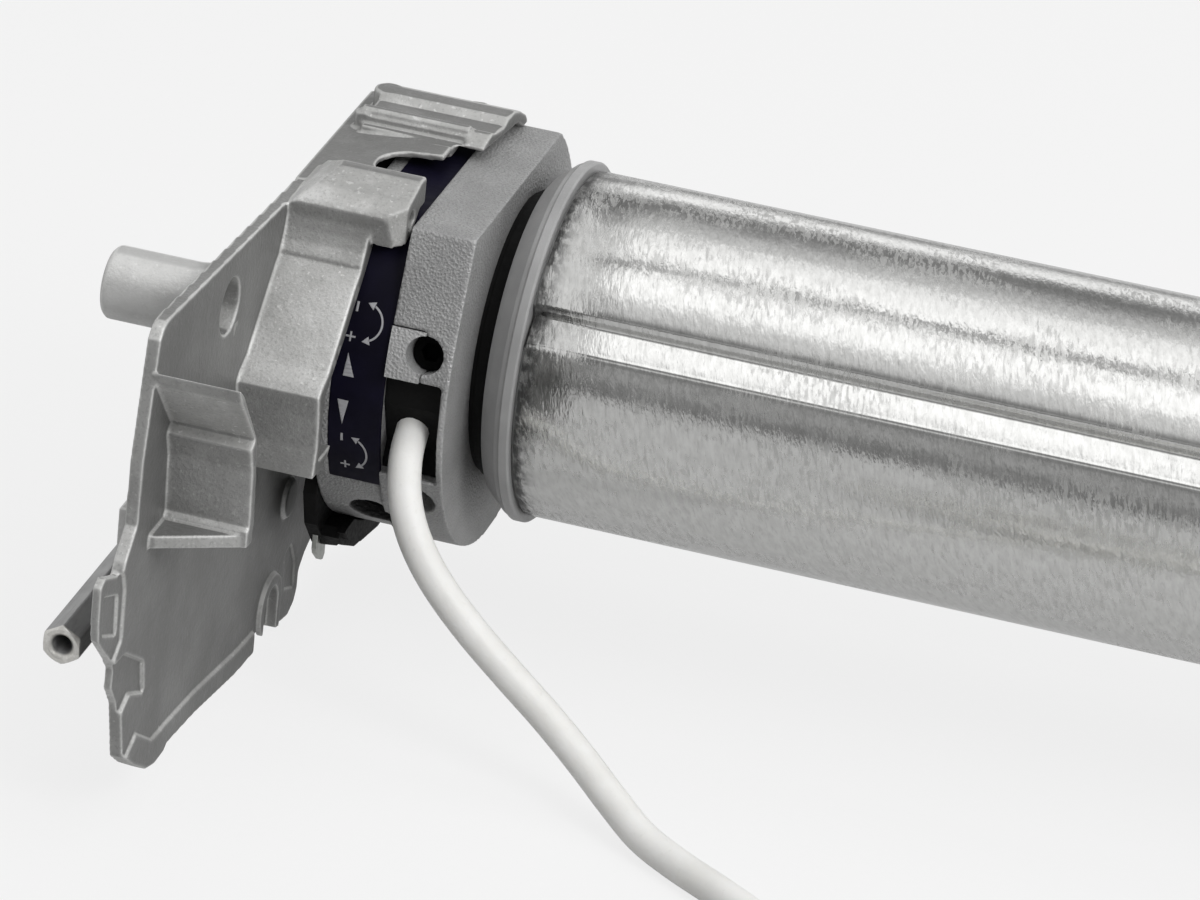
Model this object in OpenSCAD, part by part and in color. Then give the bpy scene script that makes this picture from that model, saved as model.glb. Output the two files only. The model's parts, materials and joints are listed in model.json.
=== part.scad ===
// Tubular awning motor in its die-cast end bracket, with a length of roller tube.
// x runs along the roller axis from the outer face of the end plate,
// y points to the rear of the awning and z points up. Sizes are in millimetres.

/* [Roller tube] */
// Outside diameter of the roller tube
tube_d = 78; // [76:0.5:80]
// Wall thickness of the roller tube
tube_wall = 1; // [0.8:0.1:1.4]
// Length of the roller tube
tube_len = 500; // [490:5:900]
// Radius of the round keyway groove in the tube
groove_r = 4; // [3:0.5:5]
// Depth of the keyway groove
groove_depth = 3.4; // [2.5:0.1:3.6]
// Angle of the keyway groove, seen from the open end
groove_angle = 151; // [140:1:170]

/* [Motor head] */
// Radius of the round side of the motor head
head_r = 47.6; // [47:0.2:48.4]
// How far the head's round side sits in front of the roller axis
head_shift = 2.8; // [2:0.2:3]
// Height of the flat on top of the head above the roller axis
head_top = 38.3; // [37.6:0.1:38.3]
// Distance from the roller axis to the front corner of the flat
head_corner = 38.6; // [37:0.2:39]
// How far the marking band lies below the collar
band_step = 1.2; // [1:0.1:1.5]
// Axial width of the thick collar
collar_w = 14.6; // [14.6:0.1:16]
// Diameter of the two holes over the limit screws
screw_hole_d = 8.4; // [8:0.1:9]

/* [End bracket] */
// Thickness of the cast end plate
plate_t = 3; // [2.5:0.1:3.2]
// Wall thickness of the ribs and shrouds on the plate
rib_t = 3; // [2.6:0.1:3.4]
// How far the front shroud and the cover pocket stand out from the outer face
shroud_x = 22; // [20:0.5:23]
// Diameter of the round mounting pin
pin_d = 16; // [15:0.5:17]
// Length of the mounting pin from the outer face
pin_len = 24; // [22:0.5:26]
// Width of the slot in the top wall
slot_w = 12.4; // [11:0.2:13]
// Diameter of the screw hole in the boss beside the slot
boss_hole_d = 4.6; // [4:0.1:4.8]

/* [Standoff] */
// Size across the flats of the threaded standoff
hex_af = 8; // [8:0.5:9]
// Length of the threaded standoff
hex_len = 66; // [62:1:70]
// Core diameter of the standoff's thread
hex_bore = 4.2; // [4:0.1:4.4]

/* [Motor] */
// Wall thickness of the motor tube
motor_wall = 2; // [1.6:0.1:2.2]
// Length of the stator stack
stator_len = 60; // [54:1:64]
// Radial gap between the rotor and the stator
air_gap = 0.3; // [0.25:0.05:0.5]
// Diameter of the rotor shaft
shaft_d = 8; // [7.6:0.1:8.2]

/* [Gearbox] */
// Face widths of the planets, from the motor to the output
planet_w = [9, 12, 16]; // [8:0.5:18]
// Radial clearance of the turning fits
run_gap = 0.05; // [0.03:0.01:0.08]

/* [Cable] */
// Diameter of the motor cable
cable_d = 7.4; // [7:0.1:7.6]
// Gap between the turns of the stored coil
coil_gap = 0.6; // [0.5:0.1:0.8]

/* [Hidden] */
$fn = 96;

// Stations along the roller axis
head_x = 15;
band_x = 18.5;
collar_x = 30.4;
head_end = collar_x + collar_w;
crown_x = head_end + 4.4;
lip_x = crown_x + 5.2;
tube_x = lip_x + 2.4;
tube_end = tube_x + tube_len;
sleeve_end = tube_x + 20;
ring_teeth_end = sleeve_end + 7;
spigot_end = ring_teeth_end + 12;
limit_end = spigot_end + 56;
cap_x = limit_end + 4;
cap_end = cap_x + 70;
rear_shield_x = cap_end + 5;
shield_w = 12;
stator_x = rear_shield_x + shield_w + 9;
stator_end = stator_x + stator_len;
front_shield_x = stator_end + 9;
front_shield_end = front_shield_x + shield_w;
armature_x = front_shield_end + 6;
armature_w = 3;
brake_travel = 0.6;
disc_x = armature_x + armature_w + 0.1;
disc_w = 4;
brake_plate_x = disc_x + disc_w + 0.1;
gearbox_x = brake_plate_x + 3.02;
carrier_w = 5;
stage_gap = carrier_w + 4;
stage_x = [
    gearbox_x + 3, gearbox_x + 3 + planet_w[0] + stage_gap,
    gearbox_x + 3 + planet_w[0] + planet_w[1] + 2 * stage_gap
];
carrier_x = [for (i = [0:2]) stage_x[i] + planet_w[i] + 0.5];
gearbox_end = carrier_x[2] + carrier_w + 14;
motor_end = gearbox_end + 1;
wheel_x = motor_end + 14;
wheel_w = 26;
shaft_end = wheel_x + wheel_w + 7;

// The motor follows the tube that it goes in: a 61 mm motor in a 78 mm tube
drive = tube_d / 78;
motor_d = 61 * drive;
capacitor_d = 34 * drive;
gear_m = drive;
output_d = 20 * drive;
shaft_flat = 0.4 * output_d;
carrier_r = 19.5 * drive;
planet_pin_d = 5 * drive;

// Radii
tube_r = tube_d / 2;
tube_ri = tube_r - tube_wall;
motor_r = motor_d / 2;
motor_ri = motor_r - motor_wall;
sleeve_r = motor_r + 2 * drive;
spigot_ri = 22 * drive;
window_r = 9.4 * drive;
bearing_r = 11;
core_r = motor_ri - 0.1;
rotor_r = 15 * drive;
sun_bore = 2.8 * drive;
sun_hub = 3 * drive;
brake_pin_at = 22.5 * drive;
groove_at = tube_r + groove_r - groove_depth;

// Gear teeth of the planetary stages and of the limit switch drive
sun_z = 9;
planet_z = 18;
ring_z = sun_z + 2 * planet_z;
orbit_r = gear_m * (sun_z + planet_z) / 2;
limit_m = 0.8 * drive;
limit_ring_z = 84;
limit_z = 20;
limit_orbit = limit_m * (limit_ring_z - limit_z) / 2;
limit_angle = 60;

// Bracket outline, front to rear, as seen from the roller
floor_z = -75;
top_front = [-121, 44];
top_rear = [27, 35.4];
pin_at = [-76.5, 29.3];
hex_at = [-8.8, -25.6];
hex_front = -138;

// Places on the motor head, as angles about the roller axis
upper_angle = 164.3;
lower_angle = 208.3;
screw_x = collar_x + 8.2;
recess_x = [collar_x - 0.3, collar_x + 13.1];
plug_face = 46;

// Places one point at an angle about the roller axis
function polar(r, a) = [r * cos(a), r * sin(a)];

// Extrudes a y-z outline along x
module along_x(x0, x1) {
    translate([x0, 0, 0])
        rotate([90, 0, 90])
            linear_extrude(height = x1 - x0)
                children();
}

// Extrudes an x-z outline along y
module along_y(y0, y1) {
    translate([0, y1, 0])
        rotate([90, 0, 0])
            linear_extrude(height = y1 - y0)
                children();
}

// A round bar about the roller axis
module bar(x0, x1, r) {
    translate([x0, 0, 0])
        rotate([0, 90, 0])
            cylinder(h = x1 - x0, r = r);
}

// A round ring about the roller axis
module pipe(x0, x1, ro, ri) {
    difference() {
        bar(x0, x1, ro);
        bar(x0 - 1, x1 + 1, ri);
    }
}

// A turned piece about the roller axis, from points of radius and x
module turned(points) {
    rotate([0, 90, 0])
        rotate_extrude()
            polygon(points);
}

// A round bar whose axis crosses the roller axis at a right angle
module radial_bar(x, angle, r0, r1, r) {
    translate([x, 0, 0])
        rotate([angle, 0, 0])
            translate([0, r0, 0])
                rotate([-90, 0, 0])
                    cylinder(h = r1 - r0, r = r);
}

// A sector of the y-z plane, from one angle to the next
module sector(a0, a1, r) {
    steps = 8;
    polygon(concat([[0, 0]], [for (i = [0:steps]) polar(r, a0 + (a1 - a0) * i / steps)]));
}

// Straight-sided gear outline; fill is the share of the pitch that a tooth takes
module gear(teeth, m, fill, up, down) {
    pitch_r = teeth * m / 2;
    half = 180 / teeth * fill;
    lean = tan(20) * 180 / PI / pitch_r;
    polygon([
        for (i = [0:teeth - 1])
            for (p = [[-1, -down], [-1, up], [1, up], [1, -down]])
                polar(pitch_r + p[1], i * 360 / teeth + p[0] * (half - p[1] * lean))
    ]);
}

// Outline of the motor head: a circle with a flat on top and a corner in front
module head_outline(inset = 0, cornered = true) {
    r = head_r - inset;
    top = head_top - inset;
    centre = [-head_shift, 0];
    corner = [-head_corner + inset / 2, top];
    reach = norm(corner - centre);
    bearing = atan2(corner[1] - centre[1], corner[0] - centre[0]);
    touch = centre + polar(r, bearing + acos(r / reach));
    intersection() {
        translate(centre)
            circle(r = r);
        translate([-2 * r, -2 * r])
            square([4 * r, 2 * r + top]);
    }
    if (cornered)
        polygon([corner, touch, centre, [centre[0], top]]);
}

// Keyway that the crown ring and the drive wheel leave free
module keyway_cut(x0, x1) {
    along_x(x0, x1)
        translate(polar(groove_at, groove_angle))
            circle(r = groove_r + tube_wall + 0.2);
}

// Outline of the cast end plate
module plate_outline() {
    difference() {
        polygon([
            top_rear, top_front + [3, 0], top_front + [0.5, -0.8], top_front + [-1.5, -3],
            [-124, 34], [-128, 15], [-128.5, 1], [-134.3, -5], [-135.6, -7.6], [-144, -4.3],
            [-146.6, -5.6], [-146.4, -14], [-145.6, -18.4], [-138, -26], [-134.3, -30.4], [-134.6, -35],
            [-130.6, -40.4], [-127, -55], [-122, -59], [-113, -64.5], [-107.5, -66], [-101.5, -65.8],
            [-100, -64.8], [-82, -66.4], [-54, -70.5], [-40, -71.3], [-38.3, -70.5], [-38.2, -65.6],
            [-34, -68.6], [-27, -71.8], [-19, -74.2], [-14, floor_z], [-10, -73.4], [-8.3, -70.6],
            [-8.2, -66.2], [-4.6, -63.3], [0, -61.4], [8, -60.6], [26, -56], [40, -44],
            [47, -26], [49, -6], [46, 12], [38, 27]
        ]);
        translate([-1, -46])
            circle(r = 6);
    }
}

// Shallow steps in the roller side of the plate
module plate_steps() {
    along_x(plate_t - 1, plate_t + 1)
        polygon([[-150, -2], [-134.4, -7.2], [-132.6, -12], [-132.6, -24], [-138, -28], [-150, -22]]);
    along_x(plate_t - 2, plate_t)
        polygon([[-144.6, -8.4], [-134.6, -12.4], [-134, -22.6], [-143.4, -18.2]]);
    along_x(plate_t - 1.2, plate_t + 1)
        polygon([
            [-139, -28], [-130, -28.4], [-117, -36.4], [-115.2, -45], [-125, -40.6], [-132, -44], [-140, -40]
        ]);
    // Arched recess at the lower edge
    along_x(plate_t - 1.5, plate_t + 3) {
        translate([-31.2, -64])
            circle(r = 4.6);
        translate([-35.8, -80])
            square([9.2, 16]);
    }
    along_x(plate_t - 0.8, plate_t + 1)
        polygon([[-20, -57], [-18, -66.6], [-10.4, -69.6], [-11, -62.5], [-15, -56]]);
}

// Raised edges on the roller side of the plate
module plate_borders() {
    along_x(plate_t - 0.5, plate_t + 1)
        polygon([
            [-127, -55], [-122, -59], [-113, -64.5], [-107.5, -66], [-101.5, -65.8], [-100, -64.8],
            [-82, -66.4], [-54, -70.5], [-41, -71.3], [-41, -66], [-54, -65], [-82, -61], [-100, -59.5],
            [-110, -59], [-121, -52]
        ]);
    // Lower wall of the front lug
    along_x(plate_t - 1.1, plate_t)
        polygon([[-146, -18.4], [-137.4, -24.6], [-138, -26], [-145.6, -19.8]]);
    // Rim of the arched recess
    along_x(plate_t - 0.5, plate_t + 1.2) {
        translate([-31.2, -64])
            circle(r = 7.4);
        polygon([[-38.2, -65.6], [-38.6, -63], [-24, -63], [-24.2, -72.6], [-27, -71.8], [-34, -68.6]]);
    }
    // Oval boss
    translate([plate_t - 0.5, -22.6, -41])
        rotate([0, 90, 0])
            cylinder(h = 1.7, r1 = 5, r2 = 4.4);
}

// Top wall: slopes up from the plate and is thinned around the slot
module top_wall() {
    end_x = collar_x - 3;
    end_z = 41.8;
    difference() {
        along_y(-27, 26)
            polygon([[0, 36], [end_x, end_z - 3], [end_x, end_z], [0, 38.8]]);
        translate([14 + slot_w / 2, -13, 0])
            cylinder(h = 60, r = slot_w / 2);
        translate([14 + slot_w / 2, -13 - slot_w / 2, 0])
            cube([end_x, slot_w, 60]);
        along_y(-21, -1)
            polygon([[11, 30], [11, 38.7], [end_x + 1, end_z - 1.4], [end_x + 1, 30]]);
    }
}

// Raised hook: a ridge, a channel and a rear rib that reach over the collar
module top_hook() {
    reach = collar_x + 8;
    ridge = [
        [1.5, 41.4], [5.2, 43.1], [6.6, 43.4], [7.4, 42.8], [13, 42.6], [15, 44], [18.6, 44.2], [22, 43],
        [25, 41], [26.8, 38.7]
    ];
    along_x(plate_t + 2.4, collar_x - 3)
        polygon(concat(ridge, [[1.5, 38.9]]));
    difference() {
        along_x(collar_x - 3.1, reach)
            polygon(concat(ridge, [[23.6, 38.7], [21, 40.6], [1.5, 40.6]]));
        translate([collar_x + 3.8, 4.7, 38])
            rotate([0, 0, -7])
                translate([0, -10, 0])
                    cube([20, 50, 20]);
    }
    // Rounded ends of the ridge and the rib
    translate([plate_t + 1.8, 5.2, 37])
        cylinder(h = 6.1, r = 2);
    translate([plate_t + 3.4, 17.6, 37])
        cylinder(h = 7, r = 3.2);
}

// Boss beside the slot, with the clamp screw's hole in its end
module screw_boss() {
    end_x = collar_x - 0.9;
    difference() {
        screw_boss_body(end_x);
        // Room for the marking band
        along_x(band_x - 0.5, end_x + 1)
            head_outline(band_step - 0.05, false);
    }
}

module screw_boss_body(end_x) {
    difference() {
        intersection() {
            along_x(plate_t - 0.5, end_x)
                polygon([
                    [-19.6, 38.9], [-19.6, 41.2], [-20.6, 41.4], [-26, 44.8], [-29.2, 45.4], [-38, 43],
                    [-41, 41.4], [-42, 40.2], [-41.4, 37.6], [-40.6, 33.2], [-37, 34.4], [-34.2, 35],
                    [-32.2, 36.8], [-30, 38.8]
                ]);
            along_y(-60, 0)
                polygon([
                    [0, 30], [plate_t - 0.6, 38.6], [plate_t + 2, 41.2], [plate_t + 8, 45.6], [end_x + 1, 46],
                    [end_x + 1, 30]
                ]);
            linear_extrude(height = 60)
                polygon([
                    [plate_t - 0.5, -44], [shroud_x + 1, -44], [end_x, -38.7], [end_x, -27],
                    [end_x - 2.4, -19], [plate_t - 0.5, -19]
                ]);
        }
        translate([end_x - 14, -35.5, 38.4])
            rotate([0, 90, 0])
                cylinder(h = 20, r = boss_hole_d / 2);
    }
    // Fillet between the boss and the plate
    along_x(plate_t - 0.5, plate_t + 6)
        polygon([[-29, 37.4], [-38, 38.4], [-41, 37], [-40.6, 33.2], [-34, 34.6]]);
    along_x(plate_t - 0.5, shroud_x)
        polygon([[-39, 37.2], [-41.2, 37.2], [-42, 34.4], [-43.2, 31.8], [-45, 29], [-40, 29]]);
}

// Front shroud beside the motor head, hollow towards the roller
module shroud() {
    t = rib_t;
    difference() {
        along_x(plate_t - 0.5, shroud_x)
            polygon([
                [-34.4, 34.6], [-41, 36], [-40.6, 33.2], [-43.4, 29.8], [-47.8, 26.4], [-55.4, 19],
                [-63, 11.6], [-66.8, 9.8], [-68.5, 8], [-67.4, 2.8], [-66.8, -4.8], [-68.2, -11.4],
                [-61, -11.4], [-48, -4], [-48, 6]
            ]);
        along_x(plate_t + 1, shroud_x + 1)
            polygon([
                [-40.6, 33.2 - t * 1.6], [-43.4 + t / 2, 29.8 - t], [-55.4 + t * 0.8, 19 - t],
                [-66.8 + t, 9.8 - t], [-67.4 + t, 2.8], [-66.8 + t, -4.8], [-68.2 + t, -11.4 + t],
                [-55, -11.4 + t], [-40, -8]
            ]);
        translate([0, -head_shift, 0])
            bar(plate_t + 1, shroud_x + 1, head_r - band_step + 0.6);
    }
}

// Pocket in front: a bent wall with a floor, where the front cover clips in
module cover_pocket() {
    t = rib_t;
    along_x(plate_t - 0.5, shroud_x)
        polygon([
            [-125, 35], [-122.6, 33], [-111.5, 18.6], [-110, 12], [-108.5, -3], [-110, -7.4],
            [-112.5, -7.4], [-112.5, -3.5], [-110 - t / 2, -3], [-112.5, 11], [-114.5, 16.4],
            [-112, 18], [-113.4, 19.6], [-123.6, 31.4]
        ]);
    translate([plate_t - 0.5, 0, -7.4])
        linear_extrude(height = t)
            polygon([
                [0, -109], [0, -122], [2, -121.5], [shroud_x - plate_t + 0.5, -112],
                [shroud_x - plate_t + 0.5, -109]
            ]);
}

// Mounting pin, cored from the roller side
module mount_pin() {
    translate([0, pin_at[0], pin_at[1]])
        rotate([0, -90, 0]) {
            translate([0, 0, -0.5])
                cylinder(h = 5.5, r1 = pin_d / 2 + 0.8, r2 = pin_d / 2);
            translate([0, 0, 5])
                cylinder(h = pin_len - 6, r = pin_d / 2);
            translate([0, 0, pin_len - 1])
                cylinder(h = 1, r1 = pin_d / 2, r2 = pin_d / 2 - 1);
        }
}

// Boss on the outer face that holds the root of the standoff
module standoff_boss() {
    difference() {
        translate([hex_at[0] - 6.5, hex_front + hex_len - 14, hex_at[1] - 7])
            cube([-hex_at[0] + 7, 18, 14]);
        translate([hex_at[0], 0, hex_at[1]])
            rotate([90, 0, 0])
                cylinder(h = 2 * (-hex_front - hex_len) + 40, r = hex_af / 2 / cos(30) + 0.02, center = true);
    }
}

module end_bracket() {
    color("#a3a49f")
        difference() {
            union() {
                along_x(0, plate_t)
                    plate_outline();
                top_wall();
                top_hook();
                screw_boss();
                shroud();
                cover_pocket();
                mount_pin();
                standoff_boss();
                plate_borders();
            }
            plate_steps();
            // Core of the pin
            translate([plate_t + 0.1, pin_at[0], pin_at[1]])
                rotate([0, -90, 0])
                    cylinder(h = pin_len - 3, r1 = pin_d / 2 - 1.6, r2 = pin_d / 2 - 2.6);
        }
}

module hex_standoff() {
    color("#8d9092")
        translate([hex_at[0], hex_front + hex_len, hex_at[1]])
            rotate([90, 0, 0])
                difference() {
                    rotate(30)
                        cylinder(h = hex_len, r = hex_af / 2 / cos(30), $fn = 6);
                    translate([0, 0, hex_len - 14])
                        cylinder(h = 20, r = hex_bore / 2);
                }
}

// Side view of the shell that reaches under the head; clip is cut from its outer side
module under_shell(clip) {
    difference() {
        polygon([
            [-33, -40], [-34, -43 + clip], [-31, -46 + clip], [-21, -51 + clip],
            [-8, -53.2 + clip], [5, -52.6 + clip], [5, -40]
        ]);
        translate([-head_shift, 0])
            circle(r = head_r - band_step + 0.5);
    }
}

tab_outline = [
    [-33.8, -38], [-27.6, -41], [-27.4, -50], [-28.4, -51], [-29.8, -50.6], [-33.4, -47.4], [-34, -46]
];

module head_rear_cover() {
    color("#161718")
        difference() {
            union() {
                bar(plate_t + 0.3, head_x, 36);
                along_x(head_x - 3, head_x)
                    head_outline(3, false);
                along_x(head_x - 3, head_x)
                    difference() {
                        polygon([
                            [-38, -20], [-41, -29], [-38, -38], [-31, -46], [-21, -51], [-8, -53.2],
                            [5, -52.6], [5, -30], [-30, -10]
                        ]);
                        circle(r = 30);
                    }
                along_x(head_x - 0.5, head_x + 4)
                    under_shell(0.8);
                along_x(head_x + 3.5, head_x + 5.4)
                    under_shell(2.4);
            }
            bar(plate_t, head_x + 1, 3);
            along_x(head_x - 2.05, head_x - 0.75)
                offset(delta = 0.05)
                    polygon(tab_outline);
        }
}

// Small steel tongue that hangs below the shell
module release_tab() {
    color("#c3c4bd")
        along_x(head_x - 2, head_x - 0.8)
            polygon(tab_outline);
}

// Radial holes and recesses of the motor head
module head_cuts() {
    for (angle = [upper_angle, lower_angle])
        radial_bar(screw_x, angle, 30, 60, screw_hole_d / 2);
    radial_bar(27.2, 222.6, 43.5, 60, 5.6);
    along_x(recess_x[0], recess_x[1])
        polygon([[-32, 7.4], [-60, 7.4], [-60, -17], [-32, -17]]);
    along_x(collar_x - 0.3, screw_x - 0.2)
        difference() {
            sector(158.3, 171.9, 70);
            circle(r = 40);
        }
}

module head_casting() {
    color("#8c8f8d")
        difference() {
            union() {
                along_x(head_x, band_x)
                    head_outline(band_step, false);
                along_x(band_x - 0.5, collar_x + 0.5)
                    head_outline(band_step + 1, false);
                along_x(band_x, collar_x)
                    difference() {
                        head_outline(band_step, false);
                        sector(60, 206.5, 90);
                    }
                along_x(collar_x, head_end)
                    head_outline(0);
                pipe(head_end - 1, spigot_end, motor_ri - run_gap, spigot_ri);
            }
            head_cuts();
            bar(head_x + 6, spigot_end + 1, spigot_ri);
            // Window for the limit switch pinion
            translate([sleeve_end - 1, 0, 0])
                rotate([0, 90, 0])
                    translate([-polar(limit_orbit, limit_angle)[1], polar(limit_orbit, limit_angle)[0], 0])
                        cylinder(h = 40, r = window_r);
            for (angle = [15, 105, 195, 285])
                radial_bar(spigot_end - 5, angle, 15, 40, 2.1);
        }
}

module marking_band() {
    color("#14132a")
        along_x(band_x, collar_x)
            difference() {
                intersection() {
                    head_outline(band_step, false);
                    sector(60, 206.5, 90);
                }
                head_outline(band_step + 1, false);
            }
}

module cable_lock() {
    color("#8c8f8d")
        difference() {
            along_x(collar_x + 0.03, screw_x - 0.4)
                difference() {
                    intersection() {
                        head_outline(0.1);
                        sector(158.6, 171.6, 90);
                    }
                    circle(r = 40.1);
                }
            radial_bar(screw_x, upper_angle, 30, 60, screw_hole_d / 2 + 0.05);
        }
}

module cable_plug() {
    color("#101112")
        difference() {
            along_x(recess_x[0] + 0.15, recess_x[1] - 0.15)
                polygon([
                    [-32.1, 7.2], [-39.3, 7.2], [-39.4, 5.7], [-46.5, 6.75], [-46.6, -0.2], [-45.85, -2],
                    [-42.15, -11.2], [-44, -16.8], [-32.1, -16.8]
                ]);
            for (angle = [upper_angle, lower_angle])
                radial_bar(screw_x, angle, 30, 60, screw_hole_d / 2 + 0.1);
        }
}

// Screw head seen in the hole below the cable
module head_screws() {
    color("#1d1e20")
        difference() {
            radial_bar(27.2, 222.6, 43.52, 45, 5.4);
            radial_bar(27.2, 222.6, 44, 48, 2);
        }
}

// Adjusting screw under one of the radial holes
module limit_screw(angle) {
    color("#2a2b2e")
        difference() {
            radial_bar(screw_x, angle, 30.2, 44.5, screw_hole_d / 2 - 0.25);
            translate([screw_x, 0, 0])
                rotate([angle, 0, 0])
                    translate([0, 41, 0])
                        rotate([-90, 0, 0])
                            cylinder(h = 6, r = 2.3, $fn = 6);
        }
}

module limit_screw_upper() limit_screw(upper_angle);
module limit_screw_lower() limit_screw(lower_angle);

module bearing_sleeve() {
    color("#0f1011")
        difference() {
            pipe(head_end, sleeve_end, sleeve_r, motor_r + 0.02);
            pipe(head_end - 1, head_end + 1.2, sleeve_r + 2, sleeve_r - 0.8);
        }
}

module motor_tube() {
    color("#b9bcbd")
        difference() {
            pipe(head_end + 0.5, motor_end, motor_r, motor_ri);
            translate([sleeve_end - 1, 0, 0])
                rotate([0, 90, 0])
                    translate([-polar(limit_orbit, limit_angle)[1], polar(limit_orbit, limit_angle)[0], 0])
                        cylinder(h = 10, r = window_r);
            for (angle = [15, 105, 195, 285]) {
                radial_bar(spigot_end - 5, angle, 20, 40, 2.1);
                radial_bar(gearbox_end - 5, angle, 20, 40, 2.1);
            }
        }
}

// Four radial screws that hold the motor tube on a piece inside it
module radial_screws(x) {
    for (angle = [15, 105, 195, 285])
        difference() {
            union() {
                radial_bar(x, angle, motor_ri - 5, motor_r + 1, 2.05);
                radial_bar(x, angle, motor_r + 0.02, motor_r + 2, 3.6);
            }
            radial_bar(x, angle, motor_r + 1.2, motor_r + 4, 1.4);
        }
}

module spigot_screws() {
    color("#c4c6c8")
        radial_screws(spigot_end - 5);
}

module gearbox_screws() {
    color("#c4c6c8")
        radial_screws(gearbox_end - 5);
}

module limit_housing() {
    color("#3a3d40")
        difference() {
            bar(spigot_end, limit_end, core_r);
            translate([spigot_end - 1, 0, 0])
                rotate([limit_angle, 0, 0])
                    translate([0, limit_orbit, 0])
                        rotate([0, 90, 0])
                            cylinder(h = 9, r = 1.5 + run_gap);
            bar(spigot_end + 12, limit_end + 1, core_r - 2.4);
            bar(spigot_end - 1, spigot_end + 13, 6);
        }
}

// Two snap switches on a board, one for each end of travel
module limit_switches() {
    color("#22252a")
        for (side = [-1, 1])
            difference() {
                translate([spigot_end + 12, side * 9 - 5, -8])
                    cube([28, 10, 16]);
                translate([spigot_end + 20, side * 9, 0])
                    rotate([90, 0, 0])
                        cylinder(h = 12, r = 1.4, center = true);
                translate([spigot_end + 33, side * 9, 0])
                    rotate([90, 0, 0])
                        cylinder(h = 12, r = 1.4, center = true);
            }
}

module limit_pinion() {
    color("#d8d4c4")
        rotate([limit_angle, 0, 0])
            translate([0, limit_orbit, 0]) {
                along_x(sleeve_end + 1, ring_teeth_end - 0.6)
                    rotate(180 / limit_z)
                        gear(limit_z, limit_m, 0.42, 0.9 * limit_m, 1.15 * limit_m);
                bar(sleeve_end + 0.5, spigot_end + 7, 1.5);
            }
}

module capacitor() {
    color("#c9cccd") {
        turned([
            [0, cap_x + 2], [capacitor_d / 2 - 2, cap_x + 2], [capacitor_d / 2, cap_x + 4],
            [capacitor_d / 2, cap_end - 4], [capacitor_d / 2 - 1, cap_end - 3], [0, cap_end - 3]
        ]);
        for (side = [-1, 1])
            translate([cap_end - 3.5, side * 6 - 0.4, -3])
                cube([7, 0.8, 6]);
    }
}

// Two rings that hold the capacitor in the motor tube
module capacitor_rings() {
    color("#6f7479")
        for (x = [cap_x + 10, cap_end - 20])
            pipe(x, x + 8, core_r, capacitor_d / 2 + 0.05);
}

// Bearing shield: a disc with a seat for the bearing on its motor side
module shield(x, seat_x) {
    difference() {
        bar(x, x + shield_w, core_r);
        bar(seat_x - 0.01, seat_x + 7, bearing_r);
        bar(x - 1, x + shield_w + 1, shaft_d / 2 + 1);
        for (angle = [45:90:315])
            rotate([angle, 0, 0])
                translate([0, 19 * drive, 0])
                    bar(x - 1, x + shield_w + 1, 3.5 * drive);
    }
}

module rear_shield() {
    color("#a9acae")
        shield(rear_shield_x, rear_shield_x + shield_w - 7);
}

module front_shield() {
    color("#a9acae")
        difference() {
            shield(front_shield_x, front_shield_x);
            for (angle = [0:120:240])
                rotate([angle, 0, 0])
                    translate([0, brake_pin_at, 0])
                        bar(front_shield_end - 4.02, front_shield_end + 1, 1.41);
        }
}

// Ball bearing, closed, with its inner ring standing a little proud
module bearing(x) {
    pipe(x, x + 7, bearing_r - 0.01, bearing_r - 1.8);
    pipe(x + 0.4, x + 6.6, bearing_r - 1.5, 5.6);
    pipe(x, x + 7, 5.8, shaft_d / 2 + run_gap);
}

module rear_bearing() {
    color("#cfd2d4")
        bearing(rear_shield_x + shield_w - 7);
}

module front_bearing() {
    color("#cfd2d4")
        bearing(front_shield_x);
}

slots = 12;
slot_at = 21.2 * drive;
slot_r = 3.2 * drive;

module stator_core() {
    color("#7d8387")
        along_x(stator_x, stator_end)
            difference() {
                circle(r = core_r);
                circle(r = rotor_r + air_gap);
                for (i = [0:slots - 1])
                    rotate(i * 360 / slots) {
                        translate([slot_at, 0])
                            circle(r = slot_r);
                        translate([rotor_r, -0.9])
                            square([slot_at - rotor_r - 1.2, 1.8]);
                    }
            }
}

module stator_windings() {
    inner = slot_at - 4.2 * drive;
    outer = slot_at + 4.6 * drive;
    color("#b06a35") {
        for (i = [0:slots - 1])
            rotate([i * 360 / slots, 0, 0])
                translate([0, slot_at, 0])
                    bar(stator_x - 2, stator_end + 2, slot_r - 0.1);
        for (x = [stator_x - 7.5, stator_end + 0.5])
            turned([
                [inner + 0.6, x], [outer - 0.6, x], [outer, x + 2], [outer, x + 5], [outer - 0.6, x + 7],
                [inner + 0.6, x + 7], [inner, x + 5], [inner, x + 2]
            ]);
    }
}

module rotor_shaft() {
    color("#d5d8da")
        difference() {
            union() {
                bar(rear_shield_x + 3, gearbox_x + 1, shaft_d / 2);
                bar(gearbox_x, stage_x[0] + planet_w[0], sun_bore);
            }
            translate([disc_x - 0.1, shaft_d / 2 - 0.8, -5])
                cube([disc_w + 0.2, 5, 10]);
        }
}

module rotor_core() {
    color("#9ea4a8") {
        difference() {
            bar(stator_x + 2, stator_end - 2, rotor_r);
            bar(stator_x, stator_end, shaft_d / 2 + 0.01);
            for (i = [0:19])
                rotate([i * 18, 0, 0])
                    translate([stator_x + 6, rotor_r - 0.5, -0.4])
                        cube([stator_len - 12, 2, 0.8]);
        }
        for (x = [stator_x - 1, stator_end - 2])
            pipe(x, x + 3, rotor_r - 1.5, rotor_r - 6);
    }
}

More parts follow.
